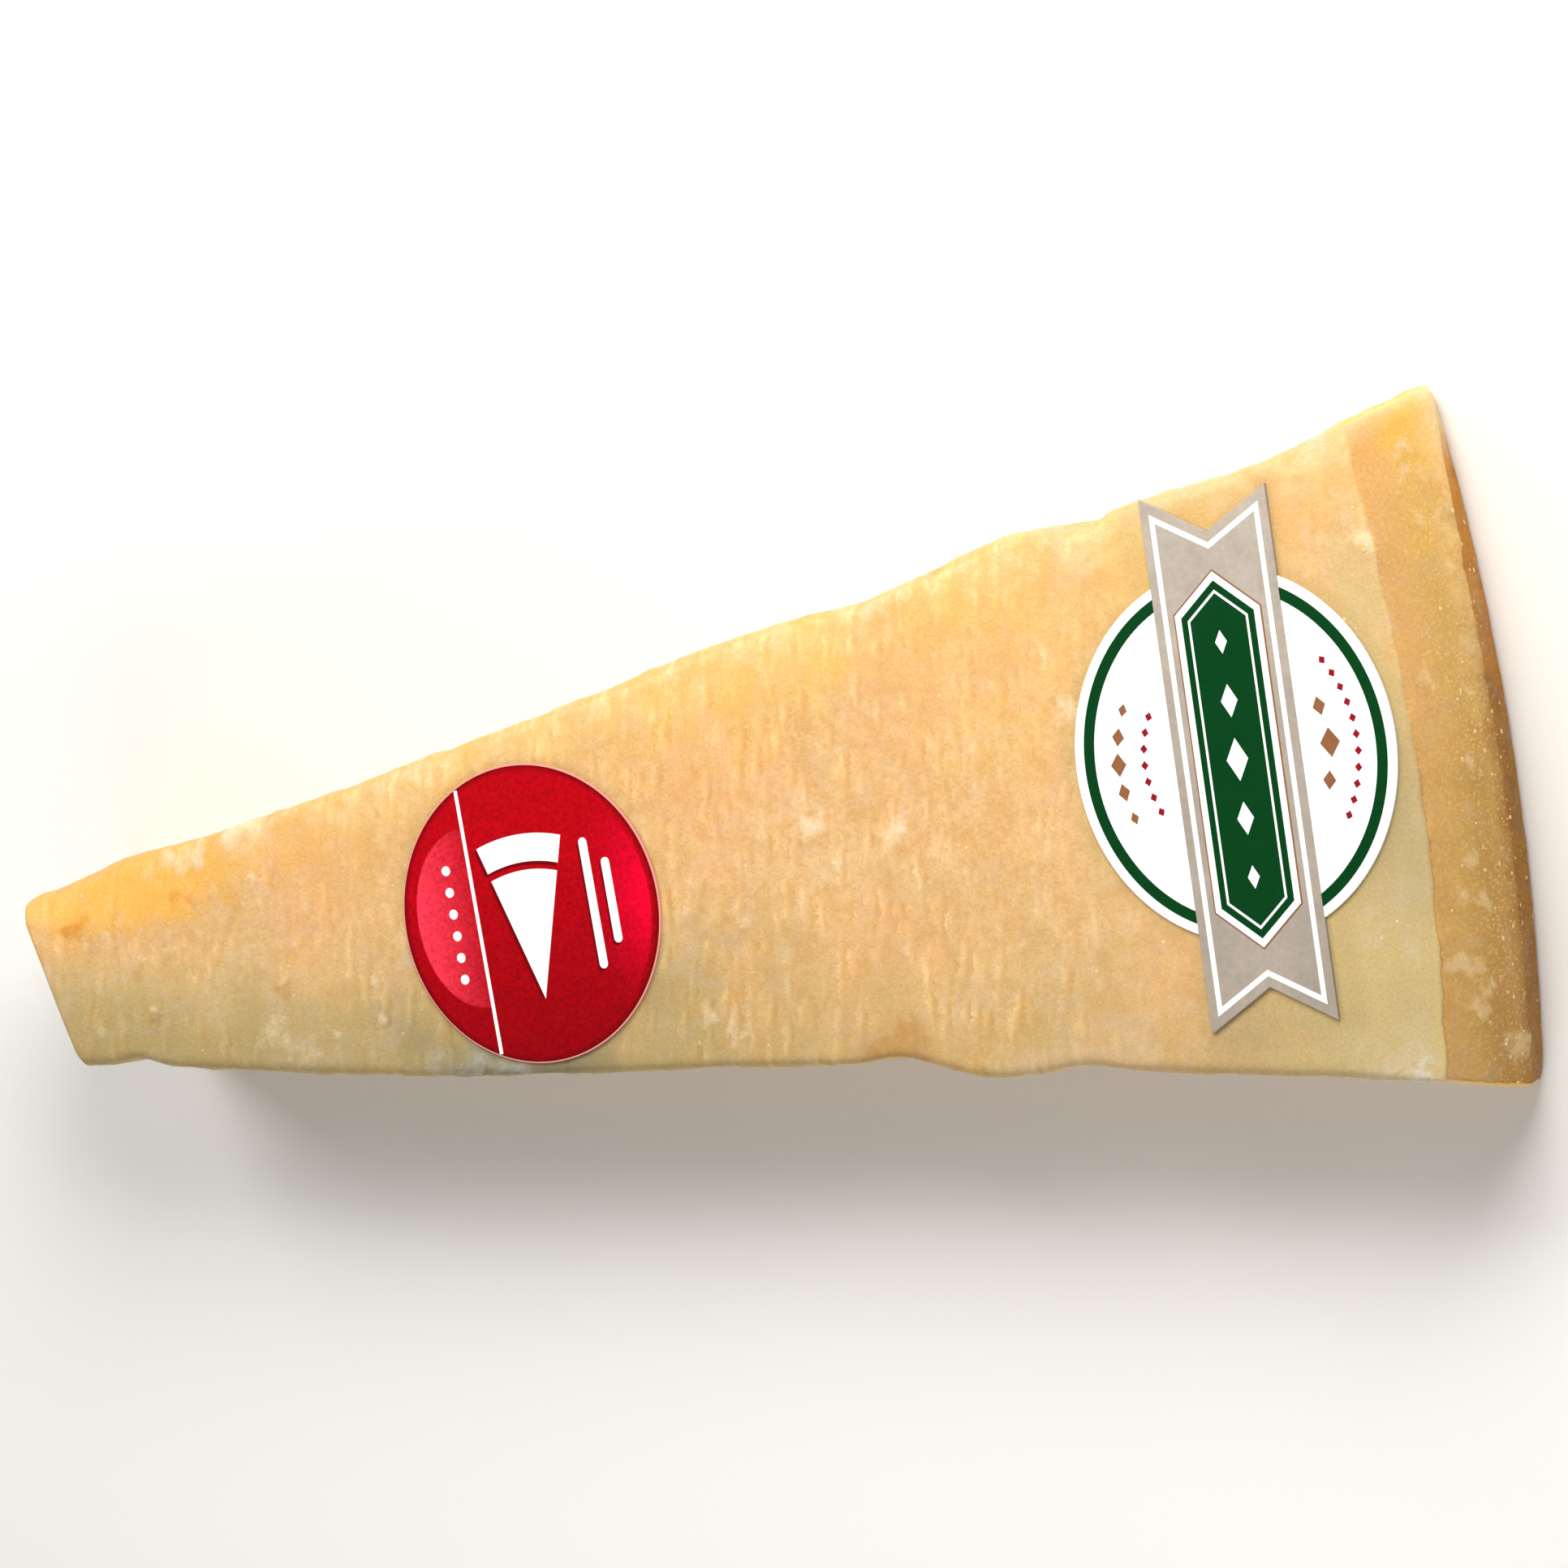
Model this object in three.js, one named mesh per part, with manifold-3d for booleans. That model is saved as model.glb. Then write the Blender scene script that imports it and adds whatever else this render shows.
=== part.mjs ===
// A vacuum-packed wedge of hard grana-type cheese, lying flat, with two paper labels on its top.
//
// The wedge is a slice of a drum-shaped wheel: its two long sides run out from the wheel's axis,
// its far end is the wheel's own rind, and its narrow tip has been cut off. It is modelled round
// the wheel's axis first, with +X pointing out along the wedge, and then moved so that the middle
// of its footprint is the origin. Millimetres, +Z up, base on z = 0.
import * as THREE from 'three';
import { mergeVertices } from 'three/addons/utils/BufferGeometryUtils.js';
import Module from 'manifold-3d';

// ---- the wedge ----
const WHEEL_RADIUS = 219.45;                        // wheel's axis to the rind, at the cut face
const TIP_RADIUS = 58.7;                            // wheel's axis to the cut-off tip, mid width
const HALF_ANGLE = THREE.MathUtils.degToRad(8.38);  // from the centre line to either long side
const THICKNESS = 22;
const LENGTH = WHEEL_RADIUS - TIP_RADIUS;
const TIP_SKEW = 0.24;                              // the tip's cut leans this much per mm across
const TIP_BOW = 0.22;                               // and bulges this much at mid width
const HEEL_FLARE_LEFT = 4.2;                        // the long sides widen this much to the base at the rind
const HEEL_FLARE_RIGHT = 2.9;
const HEEL_FLARE_REACH = 12;

// ---- the rind end, from the cut face down to the base ----
const RIDGE_HEIGHT = 5.9;                           // the worn ridge of the wheel's edge, above the base
const RIDGE_FALL_LEFT = 4.4;                        // how much lower the ridge runs at the left side
const RIDGE_FALL_RIGHT = 1.2;
const RIND_BELLY = 0.25;                            // bulge of the rind between ridge and cut face
const RIDGE_STANDS_OUT = 0.3;
const BASE_SETBACK = 0.9;                           // the rind leans in below the ridge
const HEEL_SKEW = 0.017;                            // the rind stands further out to the left
const LEDGE_RAGGED = 0.16;                          // crumbled line where paste meets rind
const RIND_REACH = 14;                              // how far the rind's shape dies away inwards

// ---- rounding of the edges ----
const CUT_EDGE = 1.3;
const RIND_EDGE = 0.4;
const BASE_EDGE = 1.1;
const TIP_EDGE = 0.7;
const TIP_CORNER_LEFT = 0.6;
const TIP_CORNER_RIGHT = 1.6;
const HEEL_CORNER_TOP = 0.6;
const HEEL_CORNER_BASE_LEFT = 4.2;                  // the rind's foot is worn round at the left
const HEEL_CORNER_BASE_RIGHT = 2.2;

// ---- worn facet along one long edge at the tip ----
const FACET_WIDTH = 6.5;
const FACET_WIDTH_AT_TIP = 2.4;
const FACET_WIDENS_OVER = 12;
const FACET_DROP = 1.5;
const FACET_LENGTH = 19;
const FACET_FADE = 7;

// ---- swells and hollows of the long edges: where along the wedge, how far out, how long ----
const WAVES_AT_BASE = 0.85;                         // share of a wave that is left at the base
const LEFT_EDGE_WAVES = [
  { at: 65, out: 0.3, reach: 4 },
  { at: 72.5, out: 0.85, reach: 3.3 },
  { at: 100, out: -0.24, reach: 8 },
  { at: 146, out: 0.62, reach: 9 },
  { at: 161.5, out: -0.5, reach: 2.8 },
  { at: 179, out: 0.8, reach: 4.2 },
  { at: 188.8, out: -1.15, reach: 2 },
  { at: 205, out: -0.8, reach: 7 },
  { at: 213, out: -0.25, reach: 4 },
];
const RIGHT_EDGE_WAVES = [
  { at: 66.6, out: -0.8, reach: 2 },
  { at: 83, out: 0.22, reach: 8 },
  { at: 104, out: 0.88, reach: 13.5 },
  { at: 147, out: -0.55, reach: 9 },
  { at: 158.3, out: -1.1, reach: 3.2 },
  { at: 169.5, out: 0.55, reach: 3.4 },
  { at: 179, out: -0.75, reach: 3 },
  { at: 187, out: -0.22, reach: 4 },
  { at: 218, out: 0.4, reach: 9 },
];

// ---- low relief ----
const STREAK_DEPTH = 0.22;                          // shallow waves across the cut face
const STREAK_PITCH = 11;
const STREAK_CROSS_PITCH = 18;
const STREAK_BEND = 1.6;                            // how far a wave's crest strays from straight
const STREAK_BEND_PITCH = 47;
const SIDE_CRAG = 0.28;                             // grain of the split sides
const SIDE_CRAG_PITCH = 9;
const SIDE_CRAG_HEIGHT = 17;
const SIDE_RIB_PITCH = 14;
const LEDGE_PITCHES = [7, 23];

// ---- labels, in the wheel's axes ----
const PAPER = 0.25;
const PAPER_GAP = 0.08;
const ROUND_LABEL = { x: 117.7, y: -1.4, radius: 15 };
const BADGE = { x: 200, y: 2.25, radiusX: 17.8, radiusY: 18.3 };
const RIBBON = { x: 200.27, y: 1.75, width: 14.1, length: 52.4, notch: 3.9, turn: -0.042 };
const FLAT_UNDER_LABELS = 2.5;                      // relief dies out this far outside a label

const PASTE_COLOUR = 0xe9c58c;
const RED_PAPER = 0xb5061d;
const WHITE_PAPER = 0xf4f3ef;

const { clamp, lerp, smoothstep } = THREE.MathUtils;
const ripple = (distance, pitch, turn = 0) => Math.sin(2 * Math.PI * (distance / pitch + turn));
const bell = (distance, reach) => Math.exp(-0.5 * (distance / reach) ** 2);
const waves = (list, x) => list.reduce((sum, w) => sum + w.out * bell(x - w.at, w.reach), 0);

// How near a place on the cut face is to a label: 1 under it, 0 well away from it.
function underLabels(x, y) {
  const round = Math.hypot(x - ROUND_LABEL.x, y - ROUND_LABEL.y) - ROUND_LABEL.radius;
  const badge = Math.hypot(x - BADGE.x, y - BADGE.y) - BADGE.radiusY;
  const ribbonSide = Math.abs(x - RIBBON.x) - RIBBON.width / 2 - RIBBON.length / 2 * Math.abs(RIBBON.turn);
  const ribbonEnd = Math.abs(y - RIBBON.y) - RIBBON.length / 2;
  const nearest = Math.min(round, badge, Math.max(ribbonSide, ribbonEnd));
  return 1 - smoothstep(nearest, 0, FLAT_UNDER_LABELS);
}

// How far the cut face lies below its plane: shallow waves that run across the wedge.
function cutFaceHollow(x, y) {
  const bend = STREAK_BEND * (ripple(y, STREAK_BEND_PITCH) + 0.5 * ripple(x + y, STREAK_BEND_PITCH / 2));
  const wave = (ripple(x + bend, STREAK_PITCH) + ripple(x - bend, STREAK_CROSS_PITCH)) / 2;
  return STREAK_DEPTH * (1 + wave) / 2 * (1 - underLabels(x, y));
}

// The worn facet: the cut face falls away towards the left edge near the tip.
function facetDrop(along, fromLeftEdge) {
  const fade = 1 - smoothstep(along, FACET_LENGTH - FACET_FADE, FACET_LENGTH + FACET_FADE);
  const width = lerp(FACET_WIDTH_AT_TIP, FACET_WIDTH, clamp(along / FACET_WIDENS_OVER, 0, 1));
  return fade * FACET_DROP * clamp(1 - fromLeftEdge / width, 0, 1) ** 1.5;
}

// The ridge runs lower towards both sides: moves a height that was measured from a level ridge.
function besideRidge(z, across) {
  const ridge = RIDGE_HEIGHT - (across > 0 ? RIDGE_FALL_LEFT : RIDGE_FALL_RIGHT) * Math.abs(across) ** 3;
  if (z < RIDGE_HEIGHT) return z * ridge / RIDGE_HEIGHT;
  return ridge + (z - RIDGE_HEIGHT) * (THICKNESS - ridge) / (THICKNESS - RIDGE_HEIGHT);
}

// How far the rind stands inside (-) or outside (+) the wheel's radius at a height.
function rindOffset(z) {
  if (z < RIDGE_HEIGHT) return lerp(-BASE_SETBACK, RIDGE_STANDS_OUT, z / RIDGE_HEIGHT);
  const t = (z - RIDGE_HEIGHT) / (THICKNESS - RIDGE_HEIGHT);
  return RIDGE_STANDS_OUT * (1 - t) + RIND_BELLY * Math.sin(Math.PI * t);
}

// Side grain: craggy, but calm at the edges so that the outline stays as its waves make it.
function sideCrag(x, z) {
  const crags = ripple(x, SIDE_CRAG_PITCH, z / THICKNESS) * ripple(z, SIDE_CRAG_HEIGHT, x / LENGTH);
  const ribs = ripple(x - z / 2, SIDE_RIB_PITCH);
  return SIDE_CRAG * (crags + ribs / 2) * Math.sin(Math.PI * clamp(z / THICKNESS, 0, 1));
}

// Rounds a box's edges: a place within a radius of two or three faces moves onto an ellipsoid.
function roundOff(place, low, high, radiusLow, radiusHigh) {
  const inner = place.map((v, a) => clamp(v, low[a] + radiusLow[a], high[a] - radiusHigh[a]));
  const out = place.map((v, a) => (v - inner[a]) / (v < inner[a] ? radiusLow[a] : radiusHigh[a]));
  const size = Math.hypot(...out);
  return size > 0 ? place.map((v, a) => inner[a] + (v - inner[a]) / size) : place;
}

// The place of one vertex, from its distance along the wedge, its lateral place and its height.
function wedgePoint(along, lateral, z) {
  const nearHeel = smoothstep(along, LENGTH - HEEL_FLARE_REACH, LENGTH);
  const halfWidth = (TIP_RADIUS + along) * HALF_ANGLE;
  const up = z / THICKNESS;
  const cornerRadius = (tip, heelBase) => lerp(lerp(tip, CUT_EDGE, smoothstep(along, 0, 6)),
    lerp(heelBase, HEEL_CORNER_TOP, up), nearHeel);
  const leftRadius = cornerRadius(TIP_CORNER_LEFT, HEEL_CORNER_BASE_LEFT);
  const rightRadius = cornerRadius(TIP_CORNER_RIGHT, HEEL_CORNER_BASE_RIGHT);
  const heelEdge = lerp(BASE_EDGE, RIND_EDGE, smoothstep(up, 0.1, 0.9));
  const heelRadius = lerp(heelEdge, leftRadius, smoothstep(lateral / halfWidth, 0.7, 0.95));
  const topRadius = lerp(CUT_EDGE, RIND_EDGE, nearHeel);
  const [a, l, h] = roundOff([along, lateral, z], [0, -halfWidth, 0], [LENGTH, halfWidth, THICKNESS],
    [TIP_EDGE, rightRadius, BASE_EDGE], [heelRadius, leftRadius, topRadius]);

  const across = l / halfWidth;
  const low = 1 - h / THICKNESS;
  const edgeWaves = waves(across > 0 ? LEFT_EDGE_WAVES : RIGHT_EDGE_WAVES, TIP_RADIUS + a);
  const flareDepth = Math.min(low / (1 - RIDGE_HEIGHT / THICKNESS), 1);
  const flare = across > 0 ? HEEL_FLARE_LEFT : HEEL_FLARE_RIGHT;
  const heelSpread = flare * clamp((a - LENGTH) / HEEL_FLARE_REACH + 1, 0, 1) ** 2;
  const outward = edgeWaves * lerp(WAVES_AT_BASE, 1, h / THICKNESS) * Math.abs(across) ** 3
    + sideCrag(TIP_RADIUS + a, h) * across ** 6
    + heelSpread * flareDepth * Math.abs(across);
  const sideways = l + Math.sign(across) * outward;

  const ragged = LEDGE_RAGGED * (ripple(l, LEDGE_PITCHES[0]) * ripple(l, LEDGE_PITCHES[1]) - 0.4) * up ** 8;
  const rindShift = rindOffset(h) + ragged + HEEL_SKEW * l;
  const tipShift = l * l / (2 * TIP_RADIUS) - TIP_SKEW * l - TIP_BOW * (1 - across * across);
  const radial = TIP_RADIUS + a + rindShift * smoothstep(a, LENGTH - RIND_REACH, LENGTH)
    + tipShift * (1 - smoothstep(a, 0, 20));
  const turn = sideways / (TIP_RADIUS + a);
  const x = radial * Math.cos(turn);
  const y = radial * Math.sin(turn);

  const topness = smoothstep(h, THICKNESS * 0.55, THICKNESS);
  const hollow = cutFaceHollow(x, y) + facetDrop(a, halfWidth - l);
  return new THREE.Vector3(x, y, lerp(h, besideRidge(h, across), nearHeel) - hollow * topness);
}

// Where the mesh has its lines: close together at both ends, even in between.
function gridLines(length, startSteps, endSteps, middle) {
  const start = startSteps;
  const end = endSteps.map((step) => length - step).reverse();
  const from = start.at(-1);
  const span = end[0] - from;
  const inner = Array.from({ length: middle }, (_, n) => from + span * (n + 1) / (middle + 1));
  return [...start, ...inner, ...end];
}

function cheeseGeometry() {
  const along = gridLines(LENGTH, [0, 0.3, TIP_EDGE, 2.4], [0, 0.45, 1.4, 2.6, 4.2, 7.5], 43);
  const heights = [0, 0.4, BASE_EDGE, 4, RIDGE_HEIGHT, 9.6, 12.6, 15.6, 18.6, THICKNESS - CUT_EDGE,
    THICKNESS - 0.35, THICKNESS];
  const lateralCells = 24;
  const edgeSteps = [0, 0.35, CUT_EDGE, 2.9];
  const box = new THREE.BoxGeometry(1, 1, 1, along.length - 1, lateralCells, heights.length - 1);
  box.deleteAttribute('normal');
  box.deleteAttribute('uv');
  const place = box.attributes.position;
  for (let n = 0; n < place.count; n += 1) {
    const i = Math.round((place.getX(n) + 0.5) * (along.length - 1));
    const j = Math.round((place.getY(n) + 0.5) * lateralCells);
    const k = Math.round((place.getZ(n) + 0.5) * (heights.length - 1));
    const halfWidth = (TIP_RADIUS + along[i]) * HALF_ANGLE;
    const lateral = gridLines(2 * halfWidth, edgeSteps, edgeSteps, lateralCells + 1 - 2 * edgeSteps.length);
    const point = wedgePoint(along[i], lateral[j] - halfWidth, heights[k]);
    place.setXYZ(n, point.x, point.y, point.z);
  }
  return mergeVertices(box, 1e-4);
}

// ---- labels ----
function paperSheet(shape) {
  const sheet = new THREE.ExtrudeGeometry(shape, { depth: PAPER, bevelEnabled: false, curveSegments: 48 });
  sheet.translate(0, 0, THICKNESS + PAPER_GAP);
  return sheet;
}

function ellipseShape({ x, y, radiusX, radiusY }) {
  const shape = new THREE.Shape();
  shape.absellipse(x, y, radiusX, radiusY, 0, 2 * Math.PI);
  return shape;
}

function ribbonShape({ x, y, width, length, notch, turn }) {
  const [w, l] = [width / 2, length / 2];
  const corners = [[-w, -l], [0, notch - l], [w, -l], [w, l], [0, l - notch], [-w, l]];
  return new THREE.Shape(corners.map(([u, v]) => new THREE.Vector2(
    x + u * Math.cos(turn) - v * Math.sin(turn),
    y + u * Math.sin(turn) + v * Math.cos(turn),
  )));
}

const wasm = await Module();
wasm.setup();

function toSolid(geometry) {
  const bare = geometry.clone();
  bare.deleteAttribute('normal');
  bare.deleteAttribute('uv');
  const merged = mergeVertices(bare, 1e-4);
  return new wasm.Manifold(new wasm.Mesh({
    numProp: 3,
    vertProperties: new Float32Array(merged.attributes.position.array),
    triVerts: new Uint32Array(merged.index.array),
  }));
}

function toGeometry(solid) {
  const { vertProperties, triVerts } = solid.getMesh();
  const geometry = new THREE.BufferGeometry();
  geometry.setAttribute('position', new THREE.BufferAttribute(vertProperties, 3));
  geometry.setIndex(new THREE.BufferAttribute(triVerts, 1));
  return geometry;
}

function ribbonLabelGeometry() {
  const badge = toSolid(paperSheet(ellipseShape(BADGE)));
  const ribbon = toSolid(paperSheet(ribbonShape(RIBBON)));
  return toGeometry(badge.add(ribbon));
}

// ---- assembly ----
function piece(name, geometry, colour, roughness) {
  const material = new THREE.MeshStandardMaterial({ color: colour, roughness, metalness: 0 });
  const mesh = new THREE.Mesh(geometry, material);
  mesh.name = name;
  return mesh;
}

const cheese = piece('cheese_wedge', cheeseGeometry(), PASTE_COLOUR, 0.45);
const roundLabel = piece('round_label',
  paperSheet(ellipseShape({ ...ROUND_LABEL, radiusX: ROUND_LABEL.radius, radiusY: ROUND_LABEL.radius })),
  RED_PAPER, 0.35);
const ribbonLabel = piece('ribbon_label', ribbonLabelGeometry(), WHITE_PAPER, 0.5);

// The middle of the footprint becomes the origin.
const wedge = new THREE.Group();
wedge.add(cheese, roundLabel, ribbonLabel);
const centre = new THREE.Box3().setFromObject(wedge, true).getCenter(new THREE.Vector3());
wedge.children.forEach((mesh) => mesh.geometry.translate(-centre.x, -centre.y, 0));

export default wedge;
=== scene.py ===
"""A packed wedge of hard aged cheese with two paper labels: its looks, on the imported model's frame.

The wedge is a slice of a drum-shaped wheel. Its shapes are worked out in millimetres round the
wheel's axis, with +X pointing out along the wedge, and then moved to the model's frame in metres.
"""

import math

import bpy
import numpy as np
from bpy.props import FloatProperty, FloatVectorProperty, PointerProperty
from mathutils import Matrix, Vector


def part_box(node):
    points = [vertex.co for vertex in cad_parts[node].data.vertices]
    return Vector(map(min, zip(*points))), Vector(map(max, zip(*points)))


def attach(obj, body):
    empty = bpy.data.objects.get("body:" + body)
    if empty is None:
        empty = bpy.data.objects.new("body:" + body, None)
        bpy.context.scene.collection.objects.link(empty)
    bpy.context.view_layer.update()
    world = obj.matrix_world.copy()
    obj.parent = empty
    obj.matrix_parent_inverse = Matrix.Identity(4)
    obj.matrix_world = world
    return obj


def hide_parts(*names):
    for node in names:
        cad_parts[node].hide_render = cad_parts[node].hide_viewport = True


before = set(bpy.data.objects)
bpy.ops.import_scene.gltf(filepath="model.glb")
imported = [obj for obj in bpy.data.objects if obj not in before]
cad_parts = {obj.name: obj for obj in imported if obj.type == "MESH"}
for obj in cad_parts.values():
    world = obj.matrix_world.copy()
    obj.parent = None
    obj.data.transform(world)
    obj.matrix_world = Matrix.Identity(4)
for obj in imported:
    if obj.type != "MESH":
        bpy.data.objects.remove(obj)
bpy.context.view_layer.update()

bl_info = {
    "name": "Hard Cheese Wedge",
    "version": (1, 0, 0),
    "blender": (4, 5, 0),
    "location": "3D View > Sidebar > Cheese",
    "description": "Builds a packed wedge of hard aged cheese with two paper labels",
    "category": "Add Mesh",
}

MM = 0.001

# ---- the wedge, in millimetres round the wheel's axis ----
WHEEL_RADIUS = 219.45
TIP_RADIUS = 58.7
HALF_ANGLE = math.radians(8.38)
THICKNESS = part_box("cheese_wedge")[1].z / MM
LENGTH = WHEEL_RADIUS - TIP_RADIUS
TIP_SKEW = 0.24
TIP_BOW = 0.22
HEEL_FLARE_LEFT = 4.2
HEEL_FLARE_RIGHT = 2.9
HEEL_FLARE_REACH = 12
RIDGE_HEIGHT = 5.9
RIDGE_FALL_LEFT = 4.4
RIDGE_FALL_RIGHT = 1.2
RIND_BELLY = 0.25
RIDGE_STANDS_OUT = 0.3
BASE_SETBACK = 0.9
HEEL_SKEW = 0.017
LEDGE_RAGGED = 0.16
LEDGE_PITCHES = (7, 23)
RIND_REACH = 14
CUT_EDGE = 1.3
RIND_EDGE = 0.4
BASE_EDGE = 1.1
TIP_EDGE = 0.7
TIP_CORNER_LEFT = 0.6
TIP_CORNER_RIGHT = 1.6
TIP_CORNER_REACH = 6
TIP_REACH = 20
HEEL_CORNER_TOP = 0.6
HEEL_CORNER_BASE_LEFT = 4.2
HEEL_CORNER_BASE_RIGHT = 2.2
FACET_WIDTH = 6.5
FACET_WIDTH_AT_TIP = 2.4
FACET_WIDENS_OVER = 12
FACET_DROP = 1.5
FACET_FROM = 0.55  # share of the thickness
FACET_LENGTH = 19
FACET_FADE = 7
WAVES_AT_BASE = 0.85

# Swells (+) and hollows (-) of the long edges: place along the wedge, how far out, how long.
LEFT_EDGE_WAVES = (
    (65, 0.3, 4), (72.5, 0.85, 3.3), (100, -0.24, 8), (146, 0.62, 9), (161.5, -0.5, 2.8), (179, 0.8, 4.2),
    (188.8, -1.15, 2), (205, -0.8, 7), (213, -0.25, 4),
)
RIGHT_EDGE_WAVES = (
    (66.6, -0.8, 2), (83, 0.22, 8), (104, 0.88, 13.5), (147, -0.55, 9), (158.3, -1.1, 3.2),
    (169.5, 0.55, 3.4), (179, -0.75, 3), (187, -0.22, 4), (218, 0.4, 9),
)

# ---- labels, in the same axes ----
ROUND_AT = Vector((117.7, -1.4))
ROUND_RADIUS = 15.0
LINE_AT = -6.28  # the white line on the round label, along the wedge from the label's middle
LINE_WIDTH = 0.4
OVAL_AT = (-6.6, 0.5)  # the highlight left of the line is half of this oval
OVAL_RADII = (6.7, 9.0)
BADGE_AT = Vector((200.0, 2.25))
BADGE_RADII = (17.8, 18.3)
RIBBON_AT = Vector((200.27, 1.75))
RIBBON_WIDTH = 14.1
RIBBON_LENGTH = 52.4
RIBBON_NOTCH = 3.9
RIBBON_TURN = -0.042
LABEL_MARGIN = 2.5  # how far round a label the film stays smooth and the paste carries painted shade
LABEL_LOW, LABEL_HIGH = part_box("round_label")
PAPER_LOW = LABEL_LOW.z / MM
PAPER_TOP = LABEL_HIGH.z / MM
PAPER_SOFT = 0.06  # how far the die presses the paper's top edge round
INK = 0.03  # each printed layer stands this much above the one below, so that none flickers

# The wheel's axis in the model's frame, from where the round label lies in both.
WHEEL_AXIS = Vector((
    (LABEL_LOW.x + LABEL_HIGH.x) / 2 - ROUND_AT.x * MM,
    (LABEL_LOW.y + LABEL_HIGH.y) / 2 - ROUND_AT.y * MM,
    0,
))

# ---- the view, in the same axes: its middle on the cut face, how much of it is seen, and from how far ----
VIEW_AT = Vector((149.06, 6.968, THICKNESS))
VIEW_WIDTH = 154.56
VIEW_DISTANCE = 1500
SENSOR_WIDTH = 36
FLOOR_RADIUS = 3000
FLOOR_DROP = 0.05  # keeps the floor just clear of the base


def linear(hex_colour):
    """An sRGB hex colour as linear RGBA."""
    parts = [(hex_colour >> shift & 255) / 255 for shift in (16, 8, 0)]
    return tuple(v / 12.92 if v <= 0.04045 else ((v + 0.055) / 1.055) ** 2.4 for v in parts) + (1.0,)


def add(tree, kind, feeds=None, out=0, **settings):
    """Adds a node and returns its output called out, or all its outputs where out is None.

    Settings are the node's own properties. Feeds are its inputs' values, or the sockets linked to them.
    Inputs go by number where a name repeats: a Map Range's 1 and 2 are the range that it reads, 3 and 4
    the range that it gives, and a colour Mix's 6 and 7 the colours that it mixes.
    """
    node = tree.nodes.new(kind)
    for name, value in settings.items():
        setattr(node, name, value)
    for key, value in (feeds or {}).items():
        if isinstance(value, bpy.types.NodeSocket):
            tree.links.new(value, node.inputs[key])
        else:
            node.inputs[key].default_value = value
    return node.outputs if out is None else node.outputs[out]


def new_material(name):
    material = bpy.data.materials.new(name)
    material.use_nodes = True
    material.node_tree.nodes.clear()
    return material, material.node_tree


def paint(tree, colour, coats):
    """Lays coats of colour over one another.

    A coat is its tint, how it blends, and the places where it shows, of which the strongest counts. A
    place is a list of ranges, whose strengths are multiplied. A range is a value, where it starts and
    ends, the strength at its start and at its end, and the shape between them if it isn't straight.
    """
    for tint, blend, *places in coats:
        weights = []
        for place in places:
            shares = [add(tree, "ShaderNodeMapRange", {"Value": value, 1: low, 2: high, 3: start, 4: end},
                          interpolation_type=shape[0] if shape else "LINEAR")
                      for value, low, high, start, end, *shape in place]
            weight = shares[0]
            for share in shares[1:]:
                weight = add(tree, "ShaderNodeMath", {0: weight, 1: share}, operation="MULTIPLY")
            weights.append(weight)
        weight = weights[0]
        for other in weights[1:]:
            weight = add(tree, "ShaderNodeMath", {0: weight, 1: other}, operation="MAXIMUM")
        colour = add(tree, "ShaderNodeMix", {0: weight, 6: colour, 7: tint}, out=2, data_type="RGBA",
                     blend_type=blend)
    return colour


# ---------------------------------------------------------------- shapes

def smoothstep(value, low, high):
    t = np.clip((value - low) / (high - low), 0, 1)
    return t * t * (3 - 2 * t)


def lerp(a, b, t):
    return a + (b - a) * t


def ripple(distance, pitch, turn=0):
    return np.sin(2 * np.pi * (distance / pitch + turn))


def bell(distance, reach):
    return np.exp(-0.5 * (distance / reach) ** 2)


def edge_waves(waves, x):
    return sum(out * bell(x - at, reach) for at, out, reach in waves)


def rind_offset(z):
    """How far the rind stands inside (-) or outside (+) the wheel's radius at a height."""
    t = (z - RIDGE_HEIGHT) / (THICKNESS - RIDGE_HEIGHT)
    above = RIDGE_STANDS_OUT * (1 - t) + RIND_BELLY * np.sin(np.pi * np.clip(t, 0, 1))
    return np.where(z < RIDGE_HEIGHT, lerp(-BASE_SETBACK, RIDGE_STANDS_OUT, z / RIDGE_HEIGHT), above)


def beside_ridge(z, across):
    """The ridge runs lower towards both sides: moves a height that was measured from a level ridge."""
    fall = np.where(across > 0, RIDGE_FALL_LEFT, RIDGE_FALL_RIGHT)
    ridge = RIDGE_HEIGHT - fall * abs(across) ** 3
    above = ridge + (z - RIDGE_HEIGHT) * (THICKNESS - ridge) / (THICKNESS - RIDGE_HEIGHT)
    return np.where(z < RIDGE_HEIGHT, z * ridge / RIDGE_HEIGHT, above)


def round_off(place, low, high, radius_low, radius_high):
    """Rounds a block's edges: a place within the radii of two or three faces moves onto an ellipsoid."""
    inner = [np.clip(p, lo + rl, hi - rh)
             for p, lo, hi, rl, rh in zip(place, low, high, radius_low, radius_high)]
    out = [np.where(p < i, (p - i) / rl, (p - i) / rh)
           for p, i, rl, rh in zip(place, inner, radius_low, radius_high)]
    size = np.sqrt(sum(o * o for o in out))
    size = np.where(size > 0, size, 1)
    return [i + (p - i) / size for p, i in zip(place, inner)]


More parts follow.
